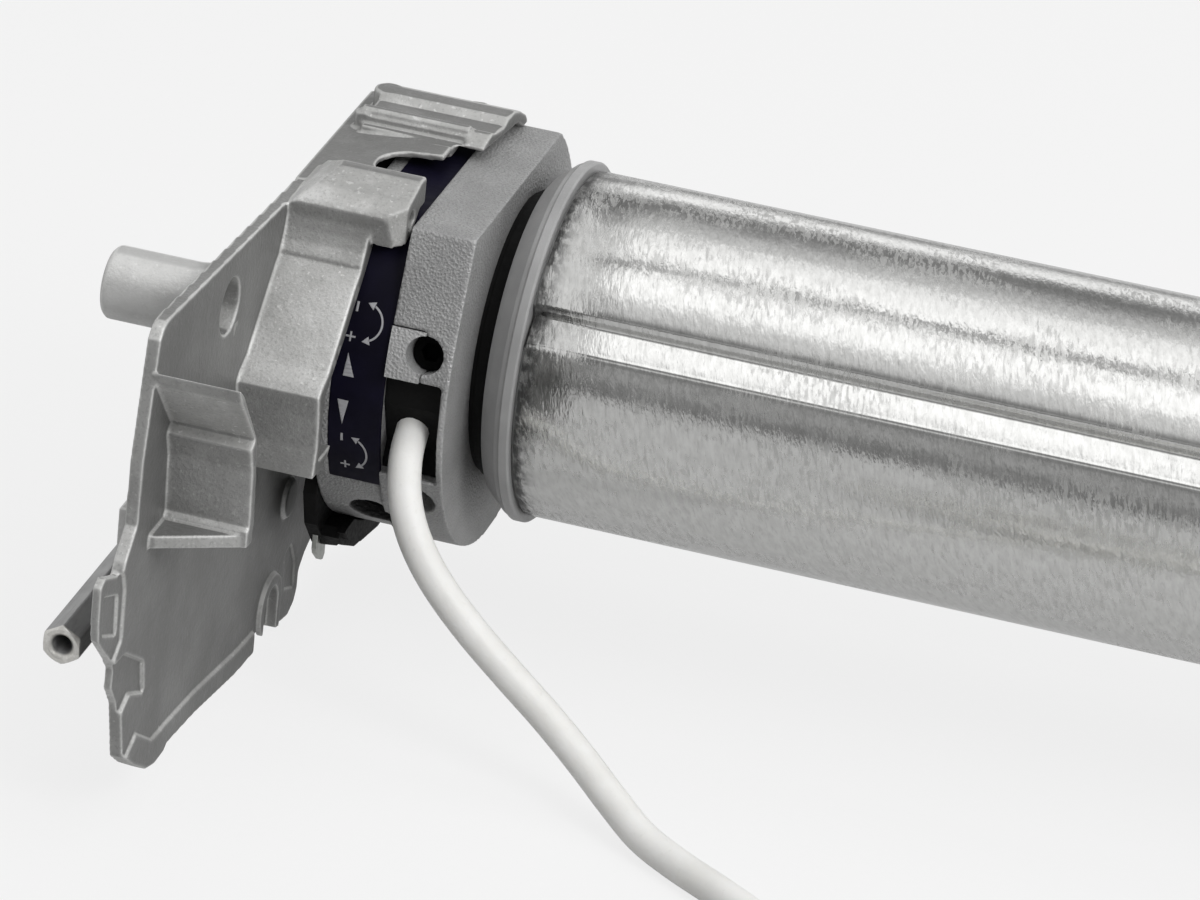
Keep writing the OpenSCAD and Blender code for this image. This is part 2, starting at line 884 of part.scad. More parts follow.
// Brake lining disc, keyed on the shaft by a flat
module brake_disc() {
    color("#5b4a3c")
        difference() {
            bar(disc_x, disc_x + disc_w, brake_pin_at - 3.5);
            intersection() {
                bar(disc_x - 1, disc_x + disc_w + 1, shaft_d / 2 + 0.02);
                translate([disc_x - 1, -10, -10])
                    cube([disc_w + 2, 10 + shaft_d / 2 - 0.78, 20]);
            }
        }
}

// Steel plate that the springs press on the lining and the coil pulls back
module brake_armature() {
    color("#8f9598")
        difference() {
            pipe(armature_x, armature_x + armature_w, brake_pin_at + 3.5, 7);
            for (angle = [0:120:240])
                rotate([angle, 0, 0])
                    translate([0, brake_pin_at, 0])
                        bar(armature_x - 1, armature_x + 4, 1.6);
        }
}

// Guide pins of the brake, fixed in the front shield
module brake_pins() {
    color("#c4c6c8")
        for (angle = [0:120:240])
            rotate([angle, 0, 0])
                translate([0, brake_pin_at, 0])
                    bar(front_shield_end - 4, brake_plate_x - 0.02, 1.4);
}

// Pressure springs around the guide pins, held clear of the plate by its travel
module brake_spring() {
    turns = 4;
    steps = 12;
    wire = 0.35;
    length = armature_x - brake_travel - 0.1 - front_shield_end;
    route = [
        for (i = [0:turns * steps])
            let (a = 360 * i / steps)
            [front_shield_end + wire + (length - 2 * wire) * i / (turns * steps), 2.1 * cos(a), 2.1 * sin(a)]
    ];
    color("#b8babd")
        for (angle = [0:120:240])
            rotate([angle, 0, 0])
                translate([0, brake_pin_at, 0])
                    swept(route, wire, 6, [0, 0, 1], [0, 0, 1]);
}

// Steel counter plate that closes the gearbox towards the brake
module brake_plate() {
    color("#a0a4a7")
        difference() {
            bar(brake_plate_x, gearbox_x - 0.02, core_r);
            bar(brake_plate_x - 1, gearbox_x + 1, 6);
        }
}

module ring_gear() {
    color("#54585c")
        difference() {
            bar(gearbox_x, gearbox_end, core_r);
            along_x(gearbox_x - 1, carrier_x[2] + carrier_w + 1)
                rotate(180 / ring_z)
                    gear(ring_z, gear_m, 0.58, 1.25 * gear_m, 0.9 * gear_m);
            bar(gearbox_x - 1, gearbox_end + 1, output_d / 2 + 2.02);
            for (angle = [15, 105, 195, 285])
                radial_bar(gearbox_end - 5, angle, 20, 40, 2.1);
        }
}

module sun(x, w, bore) {
    difference() {
        along_x(x, x + w)
            gear(sun_z, gear_m, 0.42, 0.9 * gear_m, 1.1 * gear_m);
        bar(x - 1, x + w + 1, bore);
    }
}

// Planet number k of a stage, at its place on the carrier
module planet(stage, k) {
    angle = k * 120;
    centre = polar(orbit_r, angle);
    color("#e4dfcf")
        translate([0, centre[0], centre[1]])
            difference() {
                along_x(stage_x[stage], stage_x[stage] + planet_w[stage])
                    rotate(angle + 180 / planet_z)
                        gear(planet_z, gear_m, 0.42, 0.9 * gear_m, 1.1 * gear_m);
                bar(stage_x[stage] - 1, stage_x[stage] + planet_w[stage] + 1, planet_pin_d / 2 + run_gap);
            }
}

module planet_1_a() planet(0, 0);
module planet_1_b() planet(0, 1);
module planet_1_c() planet(0, 2);
module planet_2_a() planet(1, 0);
module planet_2_b() planet(1, 1);
module planet_2_c() planet(1, 2);
module planet_3_a() planet(2, 0);
module planet_3_b() planet(2, 1);
module planet_3_c() planet(2, 2);

// Carrier plate with its three planet pins
module carrier(stage, r) {
    bar(carrier_x[stage], carrier_x[stage] + carrier_w, r);
    for (k = [0:2])
        rotate([k * 120, 0, 0])
            translate([0, orbit_r, 0])
                bar(stage_x[stage] - 1.5, carrier_x[stage] + 1, planet_pin_d / 2);
}

// Carrier with the bore that takes the next stage's sun gear
module sun_carrier(stage) {
    color("#a7abad")
        difference() {
            carrier(stage, carrier_r);
            bar(carrier_x[stage] - 1, carrier_x[stage] + carrier_w + 1, sun_hub + 0.01);
        }
}

module carrier_1() sun_carrier(0);
module carrier_2() sun_carrier(1);

module sun_gear_1() {
    color("#c8cbcc")
        sun(stage_x[0], planet_w[0], sun_bore + 0.01);
}

// Sun gear whose hub sits in the carrier of the stage before
module carried_sun(stage) {
    x = carrier_x[stage - 1];
    color("#c8cbcc") {
        sun(x + carrier_w, stage_x[stage] + planet_w[stage] - x - carrier_w, 1.5);
        pipe(x, x + carrier_w + 0.5, sun_hub, 1.5);
    }
}

module sun_gear_2() carried_sun(1);
module sun_gear_3() carried_sun(2);

module output_carrier() {
    color("#a7abad")
        difference() {
            union() {
                carrier(2, carrier_r + 1);
                bar(carrier_x[2] + carrier_w - 1, shaft_end, output_d / 2);
            }
            for (side = [-1, 1])
                translate([wheel_x - 2, -20, side * 2 * shaft_flat - shaft_flat])
                    cube([shaft_end, 40, 2 * shaft_flat]);
            pipe(wheel_x + wheel_w + 1, wheel_x + wheel_w + 2.6, 20, output_d / 2 - 1.2);
        }
}

module output_bush() {
    color("#9a7b45")
        pipe(carrier_x[2] + carrier_w + 0.5, gearbox_end, output_d / 2 + 2, output_d / 2 + run_gap);
}

module crown_ring() {
    color("#75797b")
        difference() {
            union() {
                turned([
                    [sleeve_r + run_gap, crown_x], [tube_r - 2.8, crown_x], [tube_r - 1.6, crown_x + 1.2],
                    [tube_r + 0.9, lip_x - 1.2], [tube_r + 1.4, lip_x - 0.2], [tube_r + 1.8, lip_x + 0.2],
                    [tube_r + 1.8, tube_x - 0.4], [tube_r + 1.4, tube_x], [tube_ri - 0.05, tube_x],
                    [tube_ri - 0.05, ring_teeth_end], [tube_ri - 2.4, ring_teeth_end],
                    [tube_ri - 2.4, sleeve_end + 0.5], [sleeve_r + run_gap, sleeve_end + 0.5]
                ]);
                // Internal teeth that drive the limit switch
                along_x(sleeve_end + 0.4, ring_teeth_end)
                    difference() {
                        circle(r = tube_ri - 2);
                        rotate(180 / limit_ring_z + limit_angle)
                            gear(limit_ring_z, limit_m, 0.58, 1.2 * limit_m, 0.9 * limit_m);
                    }
            }
            keyway_cut(tube_x - 0.01, ring_teeth_end + 1);
        }
}

module roller_tube() {
    color("#b4b6b6")
        difference() {
            along_x(tube_x, tube_end)
                difference() {
                    union() {
                        difference() {
                            circle(r = tube_r);
                            circle(r = tube_ri);
                        }
                        intersection() {
                            circle(r = tube_r);
                            translate(polar(groove_at, groove_angle))
                                circle(r = groove_r + tube_wall);
                        }
                    }
                    translate(polar(groove_at, groove_angle))
                        circle(r = groove_r);
                }
            for (i = [0:3])
                radial_bar(wheel_x + 20, i * 90 + 20, tube_ri - 3, tube_r + 3, 2.4);
        }
}

module drive_wheel() {
    color("#2b2e31")
        difference() {
            union() {
                pipe(wheel_x, wheel_x + wheel_w, tube_ri - 0.1, tube_ri - 5);
                bar(wheel_x, wheel_x + wheel_w, output_d / 2 + 5);
                bar(wheel_x + 8, wheel_x + 14, tube_ri - 3);
                for (i = [0:7])
                    rotate([i * 45, 0, 0])
                        translate([wheel_x, output_d / 2 + 2, -1.5])
                            cube([wheel_w, tube_ri - output_d / 2 - 5, 3]);
            }
            intersection() {
                bar(wheel_x - 1, wheel_x + wheel_w + 1, output_d / 2 + 0.02);
                translate([wheel_x - 1, -20, -shaft_flat - 0.02])
                    cube([wheel_w + 2, 40, 2 * shaft_flat + 0.04]);
            }
            keyway_cut(wheel_x - 1, wheel_x + wheel_w + 1);
            for (i = [0:3])
                radial_bar(wheel_x + 20, i * 90 + 20, tube_ri - 12, tube_r + 1, 2.4);
        }
}

module wheel_clip() {
    color("#b9bcbe")
        along_x(wheel_x + wheel_w + 1.2, wheel_x + wheel_w + 2.4)
            difference() {
                circle(r = output_d / 2 + 3);
                circle(r = output_d / 2 - 1.1);
                translate([0, -4])
                    square([30, 8]);
            }
}

// Blind rivets that hold the tube on the drive wheel
module tube_rivets() {
    color("#cfd1d2")
        for (i = [0:3]) {
            radial_bar(wheel_x + 20, i * 90 + 20, tube_ri - 7, tube_r + 0.5, 2.35);
            radial_bar(wheel_x + 20, i * 90 + 20, tube_r + 0.02, tube_r + 1.3, 4.5);
        }
}

// Route of the cable from the plug to the stored coil, chosen by hand
lie_z = floor_z + cable_d / 2;
lead_route = [
    [36.4, -44, -6.6], [37.2, -50, -9], [38.4, -54.6, -12.2], [40.2, -58.4, -16.4], [43, -61.2, -21.6],
    [47, -63, -27.4], [52.4, -64, -33.8], [60, -65, -41], [69.4, -66.4, -48.4], [79.4, -68.6, -55.4],
    [89, -72.2, -61.8], [98, -77.4, -67], [106.6, -83.6, -70.2], [116, -89.6, lie_z], [128, -97.4, lie_z],
    [142, -107, lie_z], [157, -116.8, lie_z], [173.8, -127.7, lie_z]
];
coil_at = [163.4, -180.5];
coil_r = 50;
coil_pitch = cable_d + coil_gap;
coil_start = 57;
coil_total = 5;
coil_steps = 24;

// Radius and height of the coil after t turns; it winds in, climbs and winds out
function coil_radius(t) = coil_r - coil_pitch * min(t, coil_total - t);
function climb(u) = u <= 0 ? 0 : u >= 1 ? 1 : u * u * (3 - 2 * u);
function coil_height(t) = lie_z + coil_pitch * climb(2 * (t - coil_total / 2) + 0.5);
function coil_point(t) =
    concat(coil_at + polar(coil_radius(t), coil_start - 360 * t), [coil_height(t)]);
coil_points = [for (i = [0:coil_total * coil_steps]) coil_point(i / coil_steps)];
coil_out = [sin(coil_start), -cos(coil_start)];
function tail_point(s, z) =
    let (p = coil_point(coil_total)) [p[0] + coil_out[0] * s, p[1] + coil_out[1] * s, z];
tail_route = [
    tail_point(0, lie_z + coil_pitch), tail_point(9, lie_z + coil_pitch), tail_point(20, lie_z + 6.6),
    tail_point(32, lie_z + 3.6), tail_point(44, lie_z + 1), tail_point(56, lie_z), tail_point(68, lie_z)
];

// Least gap between turns of the coil, measured on its points
coil_least = min([
    for (i = [0:2:len(coil_points) - 1])
        for (j = [i + coil_steps / 2:1:len(coil_points) - 1])
            norm(coil_points[i] - coil_points[j])
]) - cable_d;
echo(coil_least_gap = coil_least);

// One ring of a swept tube at point i of a route
function unit(v) = v / norm(v);
function heading(route, i) =
    unit(route[min(i + 1, len(route) - 1)] - route[max(i - 1, 0)]);
function ring(route, i, r, sides, along) =
    let (
        t = along,
        lean = abs(t[2]) > 0.95 * norm(t) ? [1, 0, 0] : [0, 0, 1],
        side = unit(cross(t, lean)),
        up = cross(side, unit(t))
    )
    [for (k = [0:sides - 1]) route[i] + r * (cos(360 * k / sides) * side + sin(360 * k / sides) * up)];

// A tube swept along the points of a route
module swept(route, r, sides, first, last) {
    n = len(route);
    rings = [
        for (i = [0:n - 1])
            ring(route, i, r, sides, i == 0 ? first : i == n - 1 ? last : heading(route, i))
    ];
    points = [for (each_ring = rings) for (p = each_ring) p];
    faces = concat(
        [[for (k = [0:sides - 1]) k]],
        [[for (k = [sides - 1:-1:0]) (n - 1) * sides + k]],
        [for (i = [0:n - 2]) for (k = [0:sides - 1])
            [i * sides + k, (i + 1) * sides + k, i * sides + (k + 1) % sides]],
        [for (i = [0:n - 2]) for (k = [0:sides - 1])
            [(i + 1) * sides + k, (i + 1) * sides + (k + 1) % sides, i * sides + (k + 1) % sides]]
    );
    polyhedron(points = points, faces = faces);
}

plug_out = [0, -0.92, -0.37];
coil_in = [coil_out[0], coil_out[1], 0];

module cable_lead() {
    color("#e6e5e1")
        swept(concat(lead_route, [coil_points[0]]), cable_d / 2, 8, plug_out, coil_in);
}

module cable_coil() {
    color("#e6e5e1")
        swept(coil_points, cable_d / 2, 6, coil_in, coil_in);
}

module cable_tail() {
    color("#e6e5e1")
        swept(tail_route, cable_d / 2, 8, coil_in, coil_in);
}

// Four insulated cores with wire-end sleeves at the free end
module cable_cores() {
    core_d = 2.4;
    tip = tail_route[len(tail_route) - 1];
    colours = ["#6b4a2c", "#2b2b2b", "#2f6fb5", "#7fae3a"];
    // Side and height of each core where it leaves the sheath, its splay and its fall
    lay = [[-1.3, -1.3, -16, 1], [-1.3, 1.3, -3, 5], [1.3, 1.3, 3, 5], [1.3, -1.3, 16, 1]];
    for (k = [0:3])
        color(colours[k])
            translate(tip)
                rotate([0, 0, coil_start - 90])
                    translate([0, lay[k][0], lay[k][1]])
                        rotate([0, 90 + lay[k][3], lay[k][2]])
                            translate([0, 0, 0.4]) {
                                cylinder(h = 24, r = core_d / 2, $fn = 16);
                                cylinder(h = 32, r = 0.7, $fn = 16);
                            }
}

end_bracket();
hex_standoff();
head_rear_cover();
release_tab();
head_casting();
marking_band();
cable_lock();
cable_plug();
head_screws();
limit_screw_upper();
limit_screw_lower();
bearing_sleeve();
motor_tube();
spigot_screws();
limit_housing();
limit_switches();
limit_pinion();
capacitor();
capacitor_rings();
rear_shield();
rear_bearing();
stator_core();
stator_windings();
rotor_shaft();
rotor_core();
front_shield();
front_bearing();
brake_spring();
brake_pins();
brake_armature();
brake_disc();
brake_plate();
ring_gear();
sun_gear_1();
planet_1_a();
planet_1_b();
planet_1_c();
carrier_1();
sun_gear_2();
planet_2_a();
planet_2_b();
planet_2_c();
carrier_2();
sun_gear_3();
planet_3_a();
planet_3_b();
planet_3_c();
output_carrier();
output_bush();
gearbox_screws();
crown_ring();
roller_tube();
drive_wheel();
wheel_clip();
tube_rivets();
cable_lead();
cable_coil();
cable_tail();
cable_cores();
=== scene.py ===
import json
import math

import bmesh
import bpy
from mathutils import Matrix, Vector


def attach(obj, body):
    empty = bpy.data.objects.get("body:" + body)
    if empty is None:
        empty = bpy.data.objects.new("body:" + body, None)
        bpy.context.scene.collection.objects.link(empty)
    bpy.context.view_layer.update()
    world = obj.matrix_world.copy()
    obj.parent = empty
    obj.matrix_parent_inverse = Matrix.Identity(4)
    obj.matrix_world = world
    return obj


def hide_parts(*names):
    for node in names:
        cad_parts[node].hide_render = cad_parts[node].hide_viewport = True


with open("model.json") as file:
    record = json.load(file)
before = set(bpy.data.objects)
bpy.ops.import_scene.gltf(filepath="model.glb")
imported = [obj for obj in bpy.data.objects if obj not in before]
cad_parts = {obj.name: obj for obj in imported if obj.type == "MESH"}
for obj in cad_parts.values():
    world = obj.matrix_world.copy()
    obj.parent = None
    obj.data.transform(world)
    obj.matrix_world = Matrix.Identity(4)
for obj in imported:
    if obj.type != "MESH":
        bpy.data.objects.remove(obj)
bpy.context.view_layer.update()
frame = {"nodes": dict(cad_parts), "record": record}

nodes = frame["nodes"]
scene = bpy.context.scene
scene.view_settings.view_transform = "Standard"

# Sizes are in millimetres, and MM turns them into metres
MM = 0.001
FLOOR_Z = -75
CABLE_D = 7.4
TUBE_R = 39
TUBE_WALL = 1
TUBE_START = 57.6
TUBE_END = 557
BASE = "bracket_and_motor"

# Camera, fitted to the photo
PHOTO_RIGHT = Vector((0.95422, 0.28308, 0.09660))
PHOTO_UP = Vector((-0.20962, 0.40250, 0.89109))
PHOTO_BACK = Vector((0.21337, -0.87055, 0.44342))
CAMERA_AT = Vector((0.40125, -1.36085, 0.66904))
CAMERA_LENS = 210.54
camera = bpy.data.objects.new("camera", bpy.data.cameras.new("camera"))
camera.data.sensor_width = 36
camera.data.lens = CAMERA_LENS
camera.data.clip_start = 0.05
camera.data.clip_end = 20
placed = Matrix((PHOTO_RIGHT, PHOTO_UP, PHOTO_BACK)).transposed().to_4x4()
placed.translation = CAMERA_AT
camera.matrix_world = placed
scene.collection.objects.link(camera)
scene.camera = camera


# Cable

def polar(r, angle):
    a = math.radians(angle)
    return r * math.cos(a), r * math.sin(a)


# Middle of the cable where it lies on the floor
LIE_Z = FLOOR_Z + CABLE_D / 2
# The first part hangs from the plug, then lies down
LEAD = [
    (36.4, -44, -6.6), (37.2, -50, -9), (38.4, -54.6, -12.2), (40.2, -58.4, -16.4), (43, -61.2, -21.6),
    (47, -63, -27.4), (52.4, -64, -33.8), (60, -65, -41), (69.4, -66.4, -48.4), (79.4, -68.6, -55.4),
    (89, -72.2, -61.8), (98, -77.4, -67), (106.6, -83.6, -70.2), (116, -89.6, LIE_Z), (128, -97.4, LIE_Z),
    (142, -107, LIE_Z), (157, -116.8, LIE_Z), (173.8, -127.7, LIE_Z),
]
COIL_AT = (163.4, -180.5)
COIL_R = 50
COIL_PITCH = 8
COIL_START = 57
COIL_TURNS = 5
COIL_STEPS = 36
ROUTE_STEPS = 4


def climb(u):
    """A smooth step from 0 to 1."""
    u = min(1, max(0, u))
    return u * u * (3 - 2 * u)


def coil_point(t):
    """A point of the coil after t turns: inward below, then outward in the second layer."""
    r = COIL_R - COIL_PITCH * min(t, COIL_TURNS - t)
    x, y = polar(r, COIL_START - 360 * t)
    layer = climb(2 * (t - COIL_TURNS / 2) + 0.5)
    return COIL_AT[0] + x, COIL_AT[1] + y, LIE_Z + COIL_PITCH * layer


def tail_way():
    """The level direction in which the tail leaves the coil."""
    a = math.radians(COIL_START)
    return Vector((math.sin(a), -math.cos(a), 0))


def tail_point(s, z):
    """A point of the straight tail, s past the end of the coil."""
    end = coil_point(COIL_TURNS)
    way = tail_way()
    return end[0] + way.x * s, end[1] + way.y * s, z


def through(points, steps):
    """Catmull-Rom curve through the points."""
    p = [Vector(q) for q in points]
    p = [2 * p[0] - p[1]] + p + [2 * p[-1] - p[-2]]
    out = []
    for i in range(1, len(p) - 2):
        for k in range(steps):
            t = k / steps
            out.append(0.5 * (
                2 * p[i] + (p[i + 1] - p[i - 1]) * t
                + (2 * p[i - 1] - 5 * p[i] + 4 * p[i + 1] - p[i + 2]) * t * t
                + (3 * p[i] - p[i - 1] - 3 * p[i + 1] + p[i + 2]) * t ** 3
            ))
    return out + [p[-2]]


coil = [coil_point(i / COIL_STEPS) for i in range(COIL_TURNS * COIL_STEPS + 1)]
TAIL_LEN = 68
tail = [
    tail_point(9, LIE_Z + 8), tail_point(20, LIE_Z + 6.6), tail_point(32, LIE_Z + 3.6),
    tail_point(44, LIE_Z + 1), tail_point(56, LIE_Z), tail_point(TAIL_LEN, LIE_Z),
]
lead_in = through(LEAD + coil[:3], ROUTE_STEPS)[:len(LEAD) * ROUTE_STEPS]
turns = [Vector(p) for p in coil[1:-1]]
lead_out = through([coil[-1]] + tail, ROUTE_STEPS)
route = [p * MM for p in lead_in + turns + lead_out]


def tube_curve(name, points, radius):
    data = bpy.data.curves.new(name, "CURVE")
    data.dimensions = "3D"
    spline = data.splines.new("POLY")
    spline.points.add(len(points) - 1)
    for place, p in zip(spline.points, points):
        place.co = (*p, 1)
    data.bevel_depth = radius
    data.bevel_resolution = 6
    data.use_fill_caps = True
    piece = bpy.data.objects.new(name, data)
    scene.collection.objects.link(piece)
    return piece


cable = tube_curve("motor_cable", route, CABLE_D * MM / 2)


# Materials

class Look:
    """A node material: a Principled shader with a small vocabulary of texture nodes."""

    def __init__(self, name, rough=0.5, metal=0.0, coat=0.0, specular=0.5):
        self.mat = bpy.data.materials.new(name)
        self.mat.use_nodes = True
        self.tree = self.mat.node_tree
        self.shader = self.tree.nodes["Principled BSDF"]
        self.shader.inputs["Roughness"].default_value = rough
        self.shader.inputs["Metallic"].default_value = metal
        self.shader.inputs["Coat Weight"].default_value = coat
        self.shader.inputs["Specular IOR Level"].default_value = specular
        self.place = self.tree.nodes.new("ShaderNodeTexCoord").outputs["Object"]

    def put(self, socket, value):
        if isinstance(value, bpy.types.NodeSocket):
            self.tree.links.new(value, socket)
        elif isinstance(value, (tuple, list)) and len(value) == 3 and socket.type == "RGBA":
            socket.default_value = (*value, 1)
        else:
            socket.default_value = value

    def math(self, operation, a, b=0.0):
        node = self.tree.nodes.new("ShaderNodeMath")
        node.operation = operation
        self.put(node.inputs[0], a)
        self.put(node.inputs[1], b)
        return node.outputs[0]

    def scaled(self, scale):
        node = self.tree.nodes.new("ShaderNodeMapping")
        self.put(node.inputs["Vector"], self.place)
        node.inputs["Scale"].default_value = scale
        return node.outputs[0]

    def noise(self, scale, detail=2.0, rough=0.5, place=None, distort=0.0):
        node = self.tree.nodes.new("ShaderNodeTexNoise")
        self.put(node.inputs["Vector"], place or self.place)
        node.inputs["Scale"].default_value = scale
        node.inputs["Detail"].default_value = detail
        node.inputs["Roughness"].default_value = rough
        node.inputs["Distortion"].default_value = distort
        return node.outputs[0]

    def cells(self, scale, place):
        node = self.tree.nodes.new("ShaderNodeTexVoronoi")
        self.put(node.inputs["Vector"], place)
        node.inputs["Scale"].default_value = scale
        return node.outputs["Distance"]

    def ramp(self, value, low, high, to_low=0.0, to_high=1.0):
        node = self.tree.nodes.new("ShaderNodeMapRange")
        node.interpolation_type = "SMOOTHSTEP"
        for socket, v in zip(node.inputs, (value, low, high, to_low, to_high)):
            self.put(socket, v)
        return node.outputs[0]

    def mix(self, factor, a, b):
        node = self.tree.nodes.new("ShaderNodeMix")
        node.data_type = "RGBA"
        self.put(node.inputs[0], factor)
        self.put(node.inputs[6], a)
        self.put(node.inputs[7], b)
        return node.outputs[2]

    def colour(self, value):
        self.put(self.shader.inputs["Base Color"], value)

    def rough(self, value):
        self.put(self.shader.inputs["Roughness"], value)

    def edges(self, radius):
        """Soft edges, and a mask that is 1 on them."""
        node = self.tree.nodes.new("ShaderNodeBevel")
        node.samples = 4
        node.inputs["Radius"].default_value = radius
        geometry = self.tree.nodes.new("ShaderNodeNewGeometry")
        dot = self.tree.nodes.new("ShaderNodeVectorMath")
        dot.operation = "DOT_PRODUCT"
        self.put(dot.inputs[0], node.outputs[0])
        self.put(dot.inputs[1], geometry.outputs["Normal"])
        return node.outputs[0], self.ramp(dot.outputs["Value"], 0.98, 0.80)

    def edge_wear_and_crease_shade(self, low, high):
        """A mask from a fine mesh's edges: outward ones above 0.5, inward ones below it. It marks wear on
        outward edges and painted shade in creases.
        """
        geometry = self.tree.nodes.new("ShaderNodeNewGeometry")
        return self.ramp(geometry.outputs["Pointiness"], low, high)

    def painted_face_shade(self):
        """A mask for the upright and the level faces, which are darkened in colour as painted shade."""
        parts = self.tree.nodes.new("ShaderNodeSeparateXYZ")
        self.put(parts.inputs[0], self.tree.nodes.new("ShaderNodeTexCoord").outputs["Normal"])
        across = self.ramp(self.math("ABSOLUTE", parts.outputs[0]), 0.7, 0.95)
        front = self.ramp(self.math("ABSOLUTE", parts.outputs[1]), 0.80, 0.96, 0.0, 0.6)
        level = self.ramp(parts.outputs[2], 0.955, 0.99, 0.0, 0.85)
        return self.math("ADD", across, self.math("ADD", front, level))

    def shaken(self, amount, scale):
        """Object coordinates, shaken a little, so that cells lose their regular edges."""
        node = self.tree.nodes.new("ShaderNodeTexNoise")
        self.put(node.inputs["Vector"], self.place)
        node.inputs["Scale"].default_value = scale
        shift = self.tree.nodes.new("ShaderNodeVectorMath")
        shift.operation = "MULTIPLY_ADD"
        self.put(shift.inputs[0], node.outputs["Color"])
        shift.inputs[1].default_value = (amount, amount, amount)
        self.put(shift.inputs[2], self.place)
        return shift.outputs[0]

    def bump(self, height, distance, strength=1.0, normal=None):
        node = self.tree.nodes.new("ShaderNodeBump")
        self.put(node.inputs["Height"], height)
        node.inputs["Distance"].default_value = distance
        node.inputs["Strength"].default_value = strength
        if normal is not None:
            self.put(node.inputs["Normal"], normal)
        self.put(self.shader.inputs["Normal"], node.outputs[0])

    def split(self):
        node = self.tree.nodes.new("ShaderNodeSeparateXYZ")
        self.put(node.inputs[0], self.place)
        return node.outputs

    def joined(self, x, y, z):
        node = self.tree.nodes.new("ShaderNodeCombineXYZ")
        for socket, v in zip(node.inputs, (x, y, z)):
            self.put(socket, v)
        return node.outputs[0]

    def around_x(self, radius):
        """Coordinates unrolled about the roller axis: x, and metres along the circumference."""
        x, y, z = self.split()
        turn = self.math("ARCTAN2", z, self.math("MULTIPLY", y, -1.0))
        return x, self.math("MULTIPLY", turn, radius)


def cast_alloy():
    look = Look("cast_alloy", rough=0.52, metal=0.3)
    wear = look.edge_wear_and_crease_shade(0.51, 0.55)
    painted_crease_shade = look.edge_wear_and_crease_shade(0.485, 0.44)
    cloud = look.noise(38, 4, 0.6)
    patches = look.noise(150, 4, 0.65)
    grain = look.noise(1500, 3, 0.6)
    specks = look.noise(900, 2, 0.5)
    base = look.mix(look.ramp(cloud, 0.35, 0.68), (0.42, 0.42, 0.41), (0.57, 0.57, 0.56))
    base = look.mix(look.ramp(patches, 0.50, 0.72, 0.0, 0.4), base, (0.70, 0.70, 0.69))
    base = look.mix(look.ramp(grain, 0.50, 0.70, 0.0, 0.45), base, (0.27, 0.27, 0.265))
    base = look.mix(look.ramp(specks, 0.62, 0.72, 0.0, 0.5), base, (0.78, 0.78, 0.77))
    # Painted shade: creases and recesses of the casting are darkened in colour.
    base = look.mix(look.math("MULTIPLY", painted_crease_shade, 0.6), base, (0.20, 0.20, 0.195))
    # Painted shade: upright and level faces are darkened by the way they face.
    base = look.mix(look.math("MULTIPLY", look.painted_face_shade(), 0.85), base, (0.125, 0.125, 0.123))
    # Painted light: the pin, at negative x, is lightened in colour.
    painted_pin_light = look.ramp(look.split()[0], 0.0, -0.004, 0.0, 0.45)
    base = look.mix(painted_pin_light, base, (0.86, 0.86, 0.85))
    look.colour(look.mix(look.math("MULTIPLY", wear, 0.3), base, (0.68, 0.68, 0.67)))
    look.rough(look.ramp(cloud, 0.3, 0.7, 0.55, 0.42))
    height = look.math("ADD", look.noise(620, 3, 0.6), look.math("MULTIPLY", grain, 0.7))
    look.bump(height, 0.00018, 0.9)
    return look.mat


HOLE_X = 27.2
HOLE_ANGLE = 222.6
HOLE_R = 5.7


def painted_hole_shade(look):
    """A mask for the wall of the round hole below the cable, which is painted black as shade."""
    x, y, z = look.split()
    ahead, down = polar(1, HOLE_ANGLE)
    beside = look.math("ADD", look.math("MULTIPLY", y, -down), look.math("MULTIPLY", z, ahead))
    out = look.math("ADD", look.math("MULTIPLY", y, ahead), look.math("MULTIPLY", z, down))
    past = look.math("SUBTRACT", x, HOLE_X * MM)
    squares = look.math("ADD", look.math("MULTIPLY", past, past), look.math("MULTIPLY", beside, beside))
    near = look.ramp(look.math("POWER", squares, 0.5), (HOLE_R + 0.5) * MM, HOLE_R * MM, 0.0, 0.92)
    return look.math("MULTIPLY", near, look.ramp(out, 0.030, 0.035))


def head_alloy():
    look = Look("head_alloy", rough=0.5, metal=0.3)
    wear = look.edge_wear_and_crease_shade(0.515, 0.56)
    leather = look.cells(1500, look.shaken(0.0005, 1000))
    grain = look.noise(2600, 3, 0.6)
    cloud = look.noise(55, 3, 0.6)
    base = look.mix(look.ramp(cloud, 0.3, 0.7), (0.31, 0.31, 0.31), (0.39, 0.39, 0.39))
    base = look.mix(look.ramp(grain, 0.48, 0.68, 0.0, 0.5), base, (0.17, 0.17, 0.17))
    base = look.mix(look.math("MULTIPLY", wear, 0.5), base, (0.58, 0.58, 0.58))
    # Painted shade: the wall of the hole below the cable is made near black.
    look.colour(look.mix(painted_hole_shade(look), base, (0.015, 0.015, 0.015)))
    height = look.math("ADD", leather, look.math("MULTIPLY", grain, 0.6))
    look.bump(height, 0.00026, 0.85)
    return look.mat


